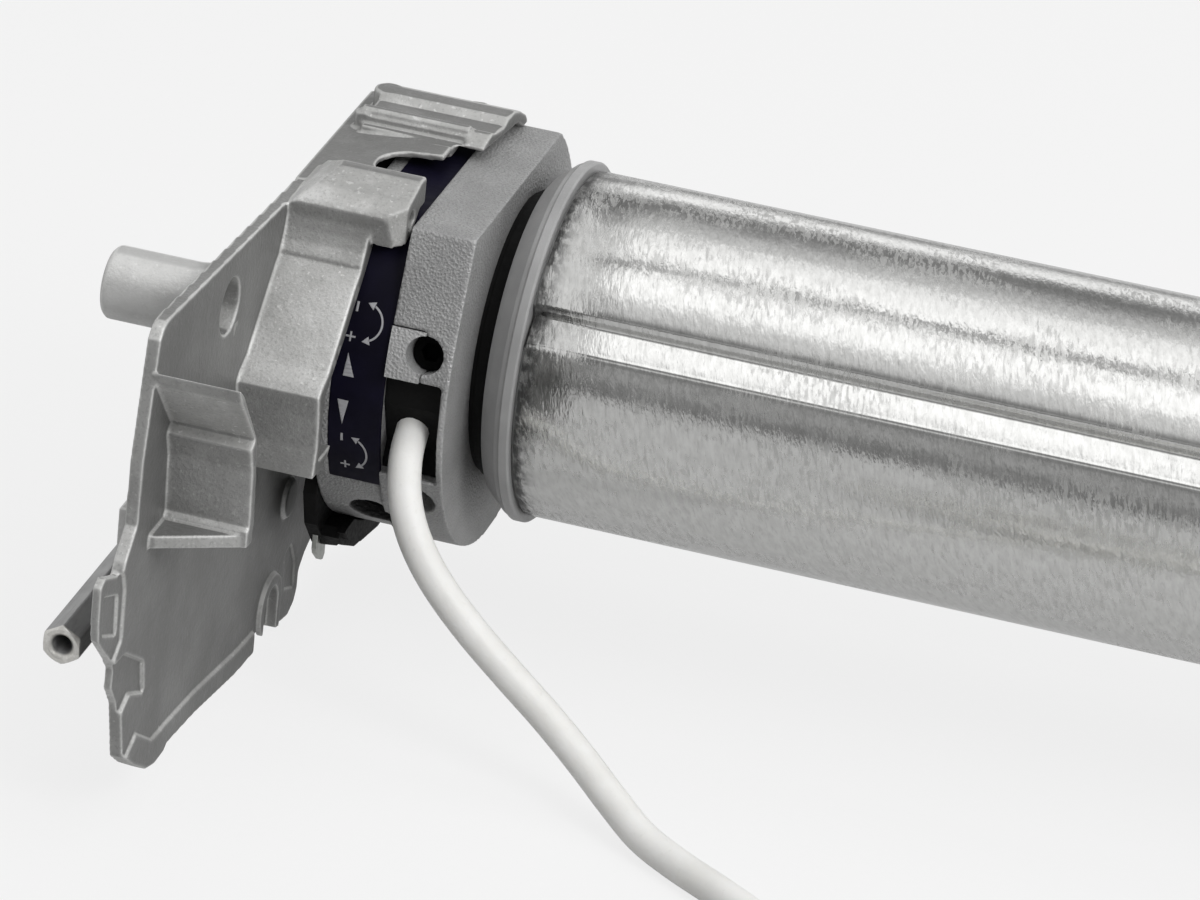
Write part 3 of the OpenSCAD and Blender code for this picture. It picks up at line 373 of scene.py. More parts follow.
def galvanised():
    """Zinc with spangles that lean around the tube, and a ragged dark band at the end next to the motor
    head.
    """
    look = Look("galvanised", rough=0.2, metal=1.0)
    x, s = look.around_x(TUBE_R * MM)
    lean = look.math("ADD", x, look.math("MULTIPLY", s, 0.22))

    def along(per_x, per_s, seed, detail=3, distort=0.0):
        place = look.joined(look.math("MULTIPLY", lean, per_x), look.math("MULTIPLY", s, per_s), seed)
        return look.noise(1, detail, 0.6, place, distort)

    streaks = along(1150, 330, 0.0, 3, 0.4)
    flakes = along(640, 260, 3.0, 2)
    slow = along(30, 75, 7.0)
    clouds = along(14, 140, 11.0)
    base = look.mix(look.ramp(flakes, 0.3, 0.7), (0.54, 0.54, 0.53), (0.62, 0.62, 0.61))
    base = look.mix(look.ramp(streaks, 0.5, 0.72, 0.0, 0.4), base, (0.38, 0.38, 0.37))
    near_end = look.ramp(x, (TUBE_START + 5.9) * MM, (TUBE_START + 0.2) * MM)
    dark_band_at_head = look.math("MULTIPLY", near_end, look.ramp(along(420, 300, 5.0), 0.38, 0.58, 0.2, 0.9))
    look.colour(look.mix(dark_band_at_head, base, (0.10, 0.10, 0.10)))
    dull = look.math("MULTIPLY", look.ramp(slow, 0.40, 0.62), look.ramp(streaks, 0.40, 0.62))
    cloudy = look.ramp(clouds, 0.4, 0.7, 0.0, 0.05)
    look.rough(look.math("ADD", look.ramp(dull, 0.0, 1.0, 0.13, 0.40), cloudy))
    height = look.math("ADD", streaks, look.math("MULTIPLY", flakes, 1.2))
    look.bump(height, 0.00022, 0.36)
    return look.mat


def plain_metal(name, low, high, rough, scale, stretch=(1, 1, 1), height=0.00005, lines=0.0):
    """Brushed, turned or drawn metal: fine noise stretched along one way."""
    look = Look(name, rough=rough, metal=1.0)
    soft, edge = look.edges(0.0003)
    place = look.scaled(stretch)
    fine = look.noise(scale, 3, 0.6, place)
    wide = look.noise(scale / 14, 2, 0.5, place)
    base = look.mix(look.ramp(wide, 0.3, 0.7), low, high)
    base = look.mix(look.ramp(fine, 0.45, 0.75, 0.0, 0.3), base, tuple(0.6 * c for c in low))
    # Painted highlight: the edges get a colour lighter than the metal.
    bright = tuple(min(1, 1.35 * c) for c in high)
    look.colour(look.mix(look.math("MULTIPLY", edge, 0.4), base, bright))
    look.rough(look.ramp(fine, 0.3, 0.7, rough - 0.06, rough + 0.08))
    relief = fine
    if lines:
        wave = look.math("SINE", look.math("MULTIPLY", look.split()[0], 2 * math.pi / lines))
        relief = look.math("ADD", fine, look.math("MULTIPLY", wave, 0.8))
    look.bump(relief, height, 0.8, soft)
    return look.mat


def moulded(name, low, high, rough, grain=900, height=0.00006, specular=0.5):
    """Moulded plastic: a fine erosion texture and a faint flow of colour."""
    look = Look(name, rough=rough, specular=specular)
    soft, edge = look.edges(0.0004)
    fine = look.noise(grain, 3, 0.55)
    wide = look.noise(60, 3, 0.6)
    base = look.mix(look.ramp(wide, 0.3, 0.7), low, high)
    # Painted highlight: the edges get a colour lighter than the plastic.
    bright = tuple(min(1, 1.6 * c + 0.002) for c in high)
    look.colour(look.mix(look.math("MULTIPLY", edge, 0.3), base, bright))
    look.rough(look.ramp(fine, 0.3, 0.7, rough - 0.05, rough + 0.08))
    look.bump(fine, height, 0.8, soft)
    return look.mat


def white_cable():
    look = Look("white_cable", rough=0.42, specular=0.4)
    look.shader.inputs["Subsurface Weight"].default_value = 0.08
    look.shader.inputs["Subsurface Radius"].default_value = (0.002, 0.0018, 0.0015)
    wide = look.noise(70, 3, 0.6)
    fine = look.noise(650, 2, 0.5)
    base = look.mix(look.ramp(wide, 0.3, 0.7), (0.80, 0.795, 0.77), (0.86, 0.857, 0.84))
    look.colour(look.mix(look.ramp(fine, 0.62, 0.75, 0.0, 0.25), base, (0.70, 0.69, 0.66)))
    look.rough(look.ramp(wide, 0.3, 0.7, 0.38, 0.5))
    look.bump(look.math("ADD", fine, look.math("MULTIPLY", wide, 2.0)), 0.00012, 0.5)
    return look.mat


def windings():
    look = Look("copper", rough=0.32, metal=0.85, coat=0.4)
    x, y, z = look.split()
    turn = look.math("ARCTAN2", z, y)
    twist = look.math("ADD", look.math("MULTIPLY", turn, 260.0), look.math("MULTIPLY", x, 900.0))
    strands = look.math("SINE", twist)
    fine = look.noise(300, 3, 0.6)
    look.colour(look.mix(look.ramp(fine, 0.3, 0.7), (0.40, 0.15, 0.06), (0.62, 0.27, 0.12)))
    look.bump(look.math("ADD", strands, fine), 0.00025, 0.9)
    return look.mat


def cores():
    """Four core colours by place across the cable's end, then bright ferrules."""
    look = Look("core_colours", rough=0.35)
    fine = look.noise(500, 2, 0.5)
    tip = Vector(tail_point(TAIL_LEN, LIE_Z)) * MM
    out = tail_way()
    across = Vector((0, 0, 1)).cross(out)
    x, y, z = look.split()

    def along(direction):
        total = look.math("MULTIPLY", look.math("SUBTRACT", x, tip.x), direction.x)
        other = look.math("MULTIPLY", look.math("SUBTRACT", y, tip.y), direction.y)
        return look.math("ADD", total, other)

    side = look.math("GREATER_THAN", along(across), 0.0)
    risen = look.math("ADD", z, look.math("MULTIPLY", along(out), 0.045))
    height = look.math("GREATER_THAN", risen, tip.z)
    lower = look.mix(side, (0.16, 0.07, 0.03), (0.02, 0.02, 0.02))
    upper = look.mix(side, (0.04, 0.14, 0.42), (0.10, 0.40, 0.06))
    colour = look.mix(height, lower, upper)
    colour = look.mix(look.math("MULTIPLY", fine, 0.15), colour, (0.5, 0.5, 0.5))
    bare = look.math("GREATER_THAN", along(out), 0.0236)
    look.colour(look.mix(bare, colour, (0.70, 0.69, 0.66)))
    look.put(look.shader.inputs["Metallic"], bare)
    look.bump(fine, 0.00005, 0.5)
    return look.mat


LOOKS = {
    "cast_alloy": cast_alloy(),
    "head_alloy": head_alloy(),
    "galvanised": galvanised(),
    "zinc_steel": plain_metal("zinc_steel", (0.44, 0.45, 0.43), (0.60, 0.61, 0.58), 0.34, scale=700),
    "dark_steel": plain_metal(
        "dark_steel", (0.22, 0.23, 0.235), (0.34, 0.35, 0.35), 0.36, scale=900, stretch=(1, 0.2, 1)
    ),
    "bright_steel": plain_metal(
        "bright_steel", (0.52, 0.53, 0.54), (0.66, 0.67, 0.68), 0.22, scale=800, stretch=(1.5, 0.3, 0.3)
    ),
    "crown_plastic": moulded("crown_plastic", (0.29, 0.29, 0.29), (0.36, 0.36, 0.36), 0.34, 1500, 0.00004),
    "black_plastic": moulded(
        "black_plastic", (0.003, 0.003, 0.003), (0.007, 0.007, 0.007), 0.6, specular=0.12
    ),
    "dark_plastic": moulded(
        "dark_plastic", (0.010, 0.010, 0.011), (0.020, 0.020, 0.021), 0.5, specular=0.25
    ),
    "marking": moulded("marking", (0.004, 0.0035, 0.009), (0.007, 0.006, 0.018), 0.5, 600, 0.00002, 0.1),
    "white_cable": white_cable(),
    "core_colours": cores(),
    "copper": windings(),
    "bronze": plain_metal("bronze", (0.36, 0.24, 0.10), (0.50, 0.36, 0.17), 0.40, scale=1500),
    "laminated_steel": plain_metal(
        "laminated_steel", (0.20, 0.21, 0.22), (0.32, 0.33, 0.34), 0.38, scale=900,
        height=0.00012, lines=0.0005,
    ),
    "can_aluminium": plain_metal(
        "can_aluminium", (0.58, 0.59, 0.60), (0.72, 0.73, 0.74), 0.28, scale=600, stretch=(0.1, 1, 1)
    ),
    "nylon": moulded("nylon", (0.62, 0.58, 0.48), (0.72, 0.69, 0.60), 0.40, 700, 0.00004),
    "lining": moulded("lining", (0.05, 0.035, 0.025), (0.10, 0.07, 0.05), 0.75, 400, 0.00015),
}
for subpart in frame["record"]["subparts"]:
    piece = nodes[subpart["node"]]
    piece.data.materials.clear()
    piece.data.materials.append(LOOKS[subpart["material_slot"]])

# Screws that stand deep in holes, painted near black as the shade in the holes
painted_shade_black = moulded("painted_shade_black", (0.002, 0.002, 0.002), (0.004, 0.004, 0.004), 0.7, specular=0.05)
for node in ("limit_screw_upper", "limit_screw_lower", "head_screws"):
    nodes[node].data.materials[0] = painted_shade_black


def dress(piece, slot, body=BASE, look=None):
    """Gives a new piece its material, the look named by its slot unless a look is given, and its body."""
    piece.data.materials.clear()
    piece.data.materials.append(look or LOOKS[slot])
    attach(piece, body)
    return piece


dress(cable, "white_cable")
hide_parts("cable_lead", "cable_coil", "cable_tail")


def mesh_piece(name, points, faces, smooth=False):
    data = bpy.data.meshes.new(name)
    data.from_pydata([Vector(p) * MM for p in points], [], faces)
    for face in data.polygons:
        face.use_smooth = smooth
    data.update()
    piece = bpy.data.objects.new(name, data)
    scene.collection.objects.link(piece)
    return piece


def facing_outward(piece):
    """Turns the faces of a closed mesh outward."""
    shell = bmesh.new()
    shell.from_mesh(piece.data)
    bmesh.ops.recalc_face_normals(shell, faces=shell.faces)
    shell.to_mesh(piece.data)
    shell.free()


def finished(piece, name):
    """Applies a piece's modifiers into a mesh of its own."""
    bpy.context.view_layer.update()
    shaped = piece.evaluated_get(bpy.context.evaluated_depsgraph_get())
    data = bpy.data.meshes.new_from_object(shaped)
    piece.modifiers.clear()
    piece.data = data
    data.name = name


def bar_along_x(name, outline, x0, x1):
    """A prism along x from an outline of y and z."""
    points = [(x, y, z) for x in (x0, x1) for y, z in outline]
    n = len(outline)
    faces = [[i, (i + 1) % n, n + (i + 1) % n, n + i] for i in range(n)]
    faces += [list(range(n))[::-1], [n + i for i in range(n)]]
    piece = mesh_piece(name, points, faces)
    facing_outward(piece)
    return piece


def casting(node, name, slot, voxel, keep, cuts=(), adds=()):
    """A copy of a CAD node with the small radii and soft corners of a die casting."""
    piece = bpy.data.objects.new(name, nodes[node].data.copy())
    scene.collection.objects.link(piece)
    welded = bmesh.new()
    welded.from_mesh(piece.data)
    bmesh.ops.remove_doubles(welded, verts=welded.verts, dist=0.000002)
    welded.to_mesh(piece.data)
    welded.free()
    for operation, tools in (("DIFFERENCE", cuts), ("UNION", adds)):
        for tool in tools:
            step = piece.modifiers.new(tool.name, "BOOLEAN")
            step.operation = operation
            step.solver = "EXACT"
            step.object = tool
    even = piece.modifiers.new("even", "REMESH")
    even.mode = "VOXEL"
    even.voxel_size = voxel
    even.use_smooth_shade = True
    soft = piece.modifiers.new("soft", "SMOOTH")
    soft.factor = 0.5
    soft.iterations = 4
    fewer = piece.modifiers.new("fewer", "DECIMATE")
    fewer.ratio = keep
    finished(piece, name)
    for tool in (*cuts, *adds):
        bpy.data.objects.remove(tool)
    piece.data.shade_smooth()
    dress(piece, slot)
    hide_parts(node)


# The front ridge of the hook stands up from the top wall
RIDGE_END = 29.3
RIDGE = [(3.4, 40.4), (4.5, 43.7), (5.2, 44.1), (6.4, 44.1), (7.2, 43.6), (8.6, 42.2), (8.6, 40.4)]
CAST_VOXEL = 0.45 * MM
CAST_KEEP = 0.35
above_wall = bar_along_x("above_wall", [(-1, 41), (3.6, 41), (3.6, 46), (-1, 46)], 3.5, RIDGE_END)
front_ridge = bar_along_x("front_ridge", RIDGE, 4.4, RIDGE_END)
casting("end_bracket", "bracket_casting", "cast_alloy", CAST_VOXEL, CAST_KEEP, [above_wall], [front_ridge])
casting("head_casting", "motor_head", "head_alloy", CAST_VOXEL, CAST_KEEP)


# Threaded standoff: turned chamfers, a countersink and an inner thread

HEX_AT = (-8.8, -25.6)
HEX_FRONT = -138
HEX_LEN = 66
HEX_AF = 8
CORNER_R = 4.52
THREAD_ROOT = 2.38
THREAD_CREST = 2.02
THREAD_PITCH = 0.8
THREAD_TURNS = 16
COUNTERSINK = 0.75


def lathe_end(rings, n, name):
    """A closed skin through rings of n points, with one face on its first and its last ring."""
    points = [p for ring in rings for p in ring]
    faces = []
    for k in range(len(rings) - 1):
        a, b = k * n, (k + 1) * n
        faces += [[a + i, b + i, b + (i + 1) % n, a + (i + 1) % n] for i in range(n)]
    faces.append(list(range(n)))
    faces.append([(len(rings) - 1) * n + i for i in range(n)][::-1])
    piece = mesh_piece(name, points, faces, True)
    facing_outward(piece)
    piece.data.set_sharp_from_angle(angle=math.radians(25))
    return piece


def standoff():
    """A hexagonal rod with turned chamfers, and a thread in its front end."""
    n = 96
    rings = []

    def ring(s, limit):
        """The hexagon cut off at a radius, s behind the front end."""
        line = []
        for i in range(n):
            a = 360 * i / n
            off = (a + 30) % 60 - 30
            r = min(HEX_AF / 2 / math.cos(math.radians(off)), limit)
            x, z = polar(r, a)
            line.append((HEX_AT[0] + x, HEX_FRONT + s, HEX_AT[1] + z))
        rings.append(line)

    ring(HEX_LEN, 3.9)
    ring(HEX_LEN - 0.4, 4.5)
    for s in (HEX_LEN - 4, 20, 1.2):
        ring(s, CORNER_R)
    for k in range(7):
        ring(0.72 - 0.12 * k, CORNER_R - 0.13 * k)
    ring(0, 3.1)
    ring(0.12, 2.85)
    ring(COUNTERSINK, 2.3)
    for k in range(THREAD_TURNS):
        start = COUNTERSINK + THREAD_PITCH * k
        ring(start + THREAD_PITCH / 2, THREAD_CREST)
        ring(start + THREAD_PITCH, THREAD_ROOT)
    ring(14, 0.2)
    return lathe_end(rings, n, "standoff_detail")


def standoff_look():
    look = Look("standoff_zinc", rough=0.4, metal=0.75)
    place = look.scaled((1, 0.15, 1))
    fine = look.noise(900, 3, 0.6, place)
    cloud = look.noise(90, 3, 0.6)
    base = look.mix(look.ramp(cloud, 0.3, 0.7), (0.24, 0.24, 0.24), (0.33, 0.33, 0.33))
    base = look.mix(look.ramp(fine, 0.45, 0.75, 0.0, 0.4), base, (0.15, 0.15, 0.15))
    # Painted light: the front end face of the rod is much lighter in colour than its sides.
    end = look.ramp(look.split()[1], (HEX_FRONT + 1.1) * MM, (HEX_FRONT + 0.5) * MM)
    light = look.mix(look.ramp(fine, 0.4, 0.7), (0.62, 0.61, 0.58), (0.74, 0.73, 0.70))
    look.colour(look.mix(end, base, light))
    look.bump(look.math("ADD", fine, cloud), 0.00012, 0.7)
    return look.mat


rod = dress(standoff(), "dark_steel", look=standoff_look())
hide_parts("hex_standoff")


# Blind rivets through the roller tube

RIVET_X = 461.72
RIVET_START = 20
RIVET_SHANK = 2.35
# Radius, and height above the tube: the head's dimple and dome, its underside and the shank
RIVET_PROFILE = [
    (0.2, 0.75), (0.9, 0.78), (1.1, 1.1), (1.4, 1.26), (2.3, 1.18), (3.2, 0.95), (3.9, 0.65), (4.35, 0.32),
    (4.5, 0.02), (4.45, -0.35), (RIVET_SHANK, -0.45), (RIVET_SHANK, -7.6), (0.2, -7.9),
]


def rivets():
    """Four rivets around the tube, their heads bent to it."""
    n = 40
    pieces = []
    for k in range(4):
        out = Vector((0, *polar(1, RIVET_START + 90 * k)))
        side = Vector((1, 0, 0)).cross(out)
        rings = []
        for r, h in RIVET_PROFILE:
            ring = []
            for i in range(n):
                u, v = polar(r, 360 * i / n)
                on_tube = h < 0.1 and r > RIVET_SHANK
                bend = v * v / (2 * TUBE_R) if on_tube else 0
                p = out * (TUBE_R + h - bend) + side * v
                ring.append((RIVET_X + u, p.y, p.z))
            rings.append(ring)
        pieces.append(lathe_end(rings, n, "rivet_%d" % (k + 1)))
    return pieces


for rivet in rivets():
    dress(rivet, "can_aluminium", "roller")
    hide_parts("tube_rivets")


# Roller tube with its rolled groove

TUBE_CHAMFER = 0.12
# Angle and depth: a steep upper wall, a sloping lower wall and a crisp lower edge
GROOVE = [
    (141.6, 0), (143, 0.07), (144, 0.32), (144.7, 0.7), (145.3, 1.15), (145.8, 1.6), (146.3, 1.98),
    (146.7, 2.2), (147.1, 2.29), (147.6, 2.23), (148.2, 2.09), (149, 1.89), (150, 1.64), (151, 1.40),
    (152, 1.16), (153, 0.91), (154, 0.67), (155, 0.42), (155.6, 0.27), (155.9, 0.16), (156.2, 0.1),
    (156.5, 0.15), (156.8, 0.05), (157.2, 0),
]


def tube_outline(inset):
    """One outline of the tube with its groove; the inner one follows the wall."""
    line = [polar(TUBE_R - depth, angle) for angle, depth in GROOVE]
    first, last = GROOVE[0][0], GROOVE[-1][0] - 360
    steps = 300
    line += [polar(TUBE_R, last + 360 + (first - last) * i / steps) for i in range(1, steps)]
    n = len(line)
    if not inset:
        return line
    inner = []
    for i in range(n):
        y, z = line[i]
        dy, dz = line[(i + 1) % n][0] - line[i - 1][0], line[(i + 1) % n][1] - line[i - 1][1]
        size = math.hypot(dy, dz)
        inner.append((y - dz / size * inset, z + dy / size * inset))
    return inner


def roller():
    outer = tube_outline(0)
    inner = tube_outline(TUBE_WALL)
    n = len(outer)
    x0, x1 = TUBE_START, TUBE_END
    edge = 0.15
    stations = [x0] + [x0 + edge + (x1 - x0 - 2 * edge) * i / 24 for i in range(25)] + [x1]
    rings = []
    for x in stations:
        size = 1 - TUBE_CHAMFER / TUBE_R if x in (x0, x1) else 1
        rings.append([(x, y * size, z * size) for y, z in outer])
    for x in (x1, x0):
        rings.append([(x, y, z) for y, z in inner])
    points = [p for ring in rings for p in ring]
    faces = []
    for k in range(len(rings)):
        here, there = k * n, ((k + 1) % len(rings)) * n
        faces += [[here + i, there + i, there + (i + 1) % n, here + (i + 1) % n] for i in range(n)]
    piece = mesh_piece("roller_skin", points, faces, True)
    piece.data.set_sharp_from_angle(angle=math.radians(40))
    return piece


roller_skin = dress(roller(), "galvanised", "roller")
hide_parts("roller_tube")


# Symbols on the marking band: plain arrows, triangles, plus and minus

BAND_R = 46.4
HEAD_SHIFT = 2.8
# The marks are sunk into the band by the first value, and are as thick as the second
SYMBOL_SINK = 0.03
SYMBOL_T = 0.08
# Millimetres of arc to a degree, on the radius at which the marks are drawn
DEGREE = math.radians(1) * 49


def on_band(x, angle, lift):
    """A point on the band, at an angle about the roller axis."""
    a = math.radians(angle)
    r = -HEAD_SHIFT * math.cos(a) + math.sqrt(BAND_R ** 2 - (HEAD_SHIFT * math.sin(a)) ** 2)
    return x, (r + lift) * math.cos(a), (r + lift) * math.sin(a)


def sideways(a, b, reach):
    """A step to the left of the way from a to b."""
    dx, ds = b[0] - a[0], b[1] - a[1]
    size = math.hypot(dx, ds)
    return -ds / size * reach, dx / size * reach


class Sheet:
    """Thin printed marks, drawn in millimetres of x and of arc, laid on the band."""

    def __init__(self):
        self.points = []
        self.faces = []

    def polygon(self, corners):
        n = len(corners)
        first = len(self.points)
        for lift in (-SYMBOL_SINK, SYMBOL_T - SYMBOL_SINK):
            self.points += [on_band(x, s / DEGREE, lift) for x, s in corners]
        self.faces.append([first + i for i in range(n)][::-1])
        self.faces.append([first + n + i for i in range(n)])
        for i in range(n):
            j = (i + 1) % n
            self.faces.append([first + i, first + j, first + n + j, first + n + i])

    def stroke(self, line, width):
        """A line of even width through points of x and arc."""
        for a, b in zip(line, line[1:]):
            nx, ns = sideways(a, b, width / 2)
            left = [(a[0] + nx, a[1] + ns), (b[0] + nx, b[1] + ns)]
            right = [(b[0] - nx, b[1] - ns), (a[0] - nx, a[1] - ns)]
            self.polygon(left + right)

    def head(self, tip, back, width):
        """An arrow head from the middle of its back to its tip."""
        nx, ns = sideways(back, tip, width / 2)
        self.polygon([tip, (back[0] + nx, back[1] + ns), (back[0] - nx, back[1] - ns)])

    def double_arrow(self, start, mid, end, width=0.45):
        """An arc through three points with a head at each end."""
        (ax, ay), (mx, my), (bx, by) = ((x, s * DEGREE) for x, s in (start, mid, end))
        d = 2 * (ax * (my - by) + mx * (by - ay) + bx * (ay - my))
        aa, mm, bb = ax * ax + ay * ay, mx * mx + my * my, bx * bx + by * by
        cx = (aa * (my - by) + mm * (by - ay) + bb * (ay - my)) / d
        cy = (aa * (bx - mx) + mm * (ax - bx) + bb * (mx - ax)) / d
        r = math.hypot(ax - cx, ay - cy)
        a0, a1 = math.atan2(ay - cy, ax - cx), math.atan2(by - cy, bx - cx)
        head = 1.7 / r

        def at(a):
            return cx + r * math.cos(a), cy + r * math.sin(a)

        inner = [a0 + head, a1 - head] if a1 > a0 else [a0 - head, a1 + head]
        line = [at(inner[0] + (inner[1] - inner[0]) * i / 16) for i in range(17)]
        self.stroke(line, width)
        self.head(at(a0), line[0], 1.9)
        self.head(at(a1), line[-1], 1.9)

    def plus(self, x, angle, size):
        s = angle * DEGREE
        self.stroke([(x - size / 2, s), (x + size / 2, s)], 0.42)
        self.stroke([(x, s - size / 2), (x, s + size / 2)], 0.42)

    def minus(self, x, angle, size):
        s = angle * DEGREE
        self.stroke([(x, s - size / 2), (x, s + size / 2)], 0.55)

    def triangle(self, apex, base, width, rows=6):
        """A triangle in rows, so that it bends with the band."""
        a, b = (apex[0], apex[1] * DEGREE), (base[0], base[1] * DEGREE)
        for k in range(rows):
            t0, t1 = k / rows, (k + 1) / rows
            x0, s0 = a[0] + (b[0] - a[0]) * t0, a[1] + (b[1] - a[1]) * t0
            x1, s1 = a[0] + (b[0] - a[0]) * t1, a[1] + (b[1] - a[1]) * t1
            h0, h1 = width / 2 * t0, width / 2 * t1
            low = [(x0 - h0, s0)] if k == 0 else [(x0 - h0, s0), (x0 + h0, s0)]
            self.polygon(low + [(x1 + h1, s1), (x1 - h1, s1)])


marks = Sheet()
marks.minus(21.7, 155.8, 2.2)
marks.plus(21.4, 163.6, 2.2)
marks.double_arrow((23.9, 154.4), (27.9, 159.2), (24.0, 164.4))
marks.triangle((21.5, 167.8), (22.2, 174.0), 2.5)
marks.triangle((21.7, 187.6), (21.6, 180.6), 2.5)
marks.minus(21.7, 191.6, 2.0)
marks.double_arrow((23.9, 191.2), (27.4, 196.4), (24.8, 201.4))
marks.plus(22.4, 200.8, 2.2)
symbols_look = moulded("print", (0.42, 0.42, 0.44), (0.50, 0.50, 0.52), 0.5, 700, 0.00002)
dress(mesh_piece("symbols", marks.points, marks.faces), "marking", look=symbols_look)


# Tie around the stored coil

TIE_W = 9
TIE_T = 0.8
TIE_SLACK = 0.3


def band_tie(name, angle):
    """A flat tie around all the turns of the coil at one angle."""
    inner = COIL_R - COIL_TURNS / 2 * COIL_PITCH - CABLE_D / 2 - TIE_SLACK
    outer = COIL_R + CABLE_D / 2 + TIE_SLACK
    low = FLOOR_Z + 0.02
    high = LIE_Z + COIL_PITCH + CABLE_D / 2 + TIE_SLACK
    corner = 3.2
    profile = []
    for cx, cz, a0 in (
        (outer - corner, low + corner, -90), (outer - corner, high - corner, 0),
        (inner + corner, high - corner, 90), (inner + corner, low + corner, 180),
    ):
        for k in range(7):
            dx, dz = polar(corner, a0 + 15 * k)
            profile.append((cx + dx, cz + dz))
    points = []
    out = Vector((*polar(1, angle), 0))
    across = Vector((0, 0, 1)).cross(out)
    middle = Vector((*COIL_AT, 0))
    for side in (-TIE_W / 2, TIE_W / 2):
        for thick in (0, TIE_T):
            for r, z in profile:
                grow_r = thick if r > (inner + outer) / 2 else -thick
                grow_z = thick if z > (low + high) / 2 else 0
                points.append(middle + out * (r + grow_r) + across * side + Vector((0, 0, z + grow_z)))
    n = len(profile)
    faces = []
    for i in range(n):
        j = (i + 1) % n
        faces.append([i, j, n + j, n + i])
        faces.append([2 * n + i, 3 * n + i, 3 * n + j, 2 * n + j])
        faces.append([n + i, n + j, 3 * n + j, 3 * n + i])
        faces.append([i, 2 * n + i, 2 * n + j, j])
    return mesh_piece(name, points, faces, True)


tie_look = moulded("tie", (0.03, 0.03, 0.03), (0.05, 0.05, 0.05), 0.7, 1400, 0.0002)
tie = dress(band_tie("coil_tie", 200), "black_plastic", look=tie_look)


# Floor, world and lamps

FLOOR_HALF = 6000
corners = [(x * FLOOR_HALF, y * FLOOR_HALF, FLOOR_Z) for x, y in ((-1, -1), (1, -1), (1, 1), (-1, 1))]
floor = mesh_piece("floor", corners, [[0, 1, 2, 3]])
paper = Look("paper", rough=0.9, specular=0.1)
fibre = paper.noise(400, 3, 0.6)
paper.colour(paper.mix(fibre, (0.53, 0.53, 0.53), (0.57, 0.57, 0.57)))
paper.bump(fibre, 0.00005, 0.2)
# How much of the paper shows as plain white, to the camera and in mirrors
CAMERA_SHARE = 0.8
MIRROR_SHARE = 0.35
white = paper.tree.nodes.new("ShaderNodeEmission")
white.inputs["Color"].default_value = (1, 1, 1, 1)
rays = paper.tree.nodes.new("ShaderNodeLightPath").outputs
mirrored = paper.math("MAXIMUM", rays["Is Glossy Ray"], rays["Is Transmission Ray"])
share = paper.math("MULTIPLY", rays["Is Camera Ray"], CAMERA_SHARE)
share = paper.math("ADD", share, paper.math("MULTIPLY", mirrored, MIRROR_SHARE))
blend = paper.tree.nodes.new("ShaderNodeMixShader")
paper.put(blend.inputs[0], share)
paper.put(blend.inputs[1], paper.shader.outputs[0])
paper.put(blend.inputs[2], white.outputs[0])
paper.put(paper.tree.nodes["Material Output"].inputs["Surface"], blend.outputs[0])
floor.data.materials.append(paper.mat)

# The world is white where it is seen or mirrored, and gives a soft light otherwise
SOFT_LIGHT = 0.30
world = bpy.data.worlds.new("studio")
scene.world = world
world.use_nodes = True
wt = world.node_tree
background = wt.nodes["Background"]


def larger(a, b):
    """The larger of two values in the world's nodes."""
    node = wt.nodes.new("ShaderNodeMath")
    node.operation = "MAXIMUM"
    wt.links.new(a, node.inputs[0])
    wt.links.new(b, node.inputs[1])
    return node.outputs[0]


rays = wt.nodes.new("ShaderNodeLightPath").outputs
shown = larger(larger(rays["Is Camera Ray"], rays["Is Glossy Ray"]), rays["Is Transmission Ray"])
choose = wt.nodes.new("ShaderNodeMix")
choose.data_type = "RGBA"
wt.links.new(shown, choose.inputs[0])
choose.inputs[6].default_value = (SOFT_LIGHT, SOFT_LIGHT, SOFT_LIGHT, 1)
choose.inputs[7].default_value = (1, 1, 1, 1)
wt.links.new(choose.outputs[2], background.inputs["Color"])
background.inputs["Strength"].default_value = 1.0


# Light tent: bright and dark cards along the roller, by angle from the back over the top to the front

TENT_R = 1300
TENT_X = (-650, 2000)
TENT_FROM = -3
TENT_TO = 183
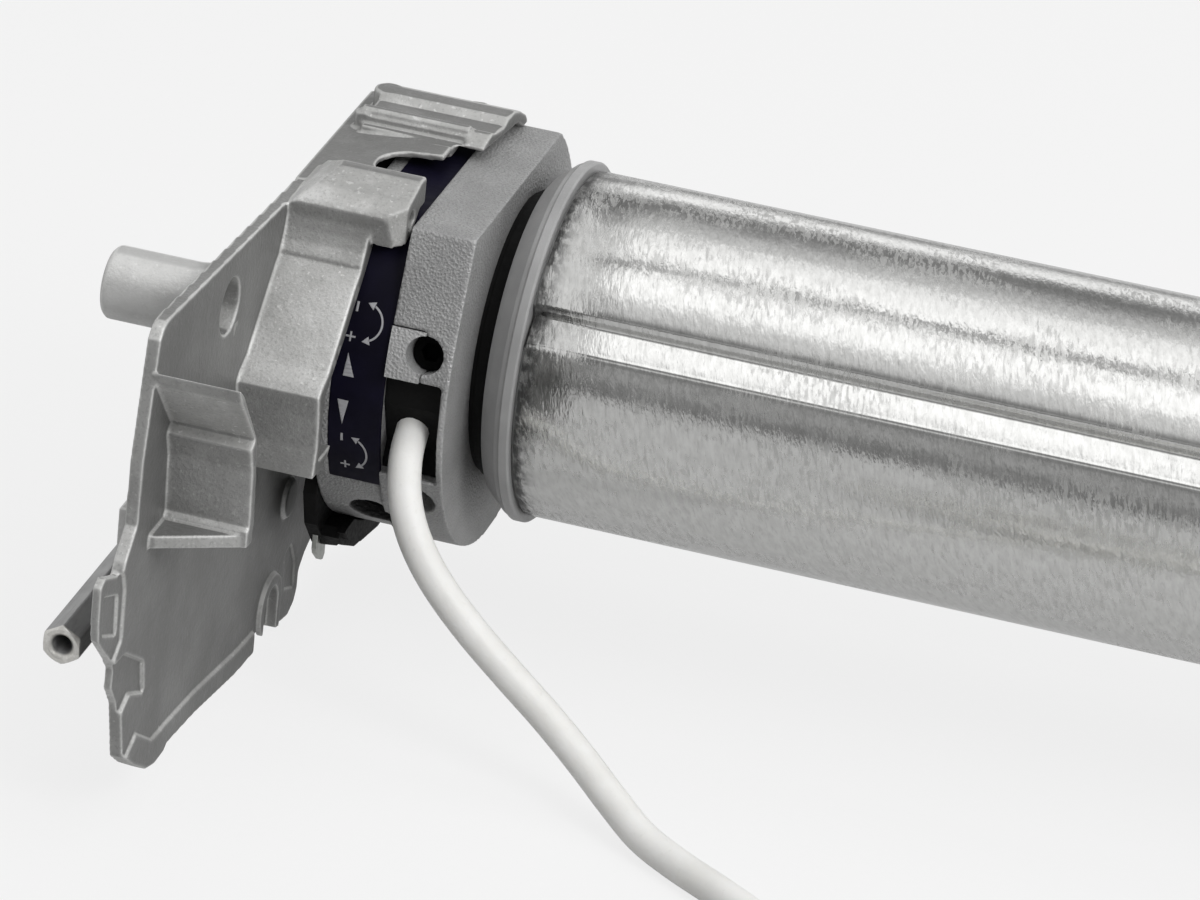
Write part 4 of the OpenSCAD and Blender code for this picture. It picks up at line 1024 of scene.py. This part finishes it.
# Angle and brightness
CARDS = [
    (TENT_FROM, 0.25), (3, 0.40), (9, 1.0), (15, 1.4), (22, 1.3), (27, 0.36), (35, 0.24), (44, 0.40),
    (54, 0.80), (60, 0.80), (64, 1.3), (72, 1.45), (82, 1.7), (88, 1.6), (90, 0.2), (94, 0.4),
    (96, 1.5), (103, 1.75), (115, 1.7), (119, 1.0), (128, 0.85), (136, 0.60), (146, 0.42), (155, 0.26),
    (162, 0.34), (168, 0.55), (174, 0.30), (TENT_TO, 0.22),
]


def tent():
    """Half a cylinder around the roller's axis, open at its ends and dimmer at the bracket's end."""
    look = Look("tent", rough=0.9)
    x, y, z = look.split()
    turn = look.math("ARCTAN2", z, y)
    around = look.ramp(turn, -math.pi, math.pi)
    around.node.interpolation_type = "LINEAR"
    bands = look.tree.nodes.new("ShaderNodeValToRGB")
    look.put(bands.inputs[0], around)
    stops = bands.color_ramp.elements
    while len(stops) > 1:
        stops.remove(stops[-1])
    for i, (angle, level) in enumerate(CARDS):
        at = min(1, (angle + 180) / 360)
        spot = stops[0] if i == 0 else stops.new(at)
        spot.position = at
        spot.color = (level, level, level, 1)
    glow = look.tree.nodes.new("ShaderNodeEmission")
    look.put(glow.inputs["Color"], bands.outputs[0])
    look.put(glow.inputs["Strength"], look.ramp(x, -0.62, -0.3, 0.4, 1.0))
    look.put(look.tree.nodes["Material Output"].inputs["Surface"], glow.outputs[0])
    steps = 60
    ring = [polar(TENT_R, TENT_FROM + (TENT_TO - TENT_FROM) * i / steps) for i in range(steps + 1)]
    points = [(x, y, z) for x in TENT_X for y, z in ring]
    n = steps + 1
    faces = [[i, i + 1, n + i + 1, n + i] for i in range(steps)]
    piece = mesh_piece("tent", points, faces)
    piece.data.materials.append(look.mat)
    piece.visible_camera = False


def key_lamp():
    """A soft lamp from the right, in front and above, aimed at the motor head."""
    data = bpy.data.lights.new("key", "AREA")
    data.shape = "SQUARE"
    data.size = 0.5
    data.energy = 9
    lamp = bpy.data.objects.new("key", data)
    lamp.location = (0.95, -0.72, 0.95)
    way = Vector((0.05, 0, 0)) - lamp.location
    lamp.rotation_euler = way.to_track_quat("-Z", "Y").to_euler()
    scene.collection.objects.link(lamp)


tent()
key_lamp()
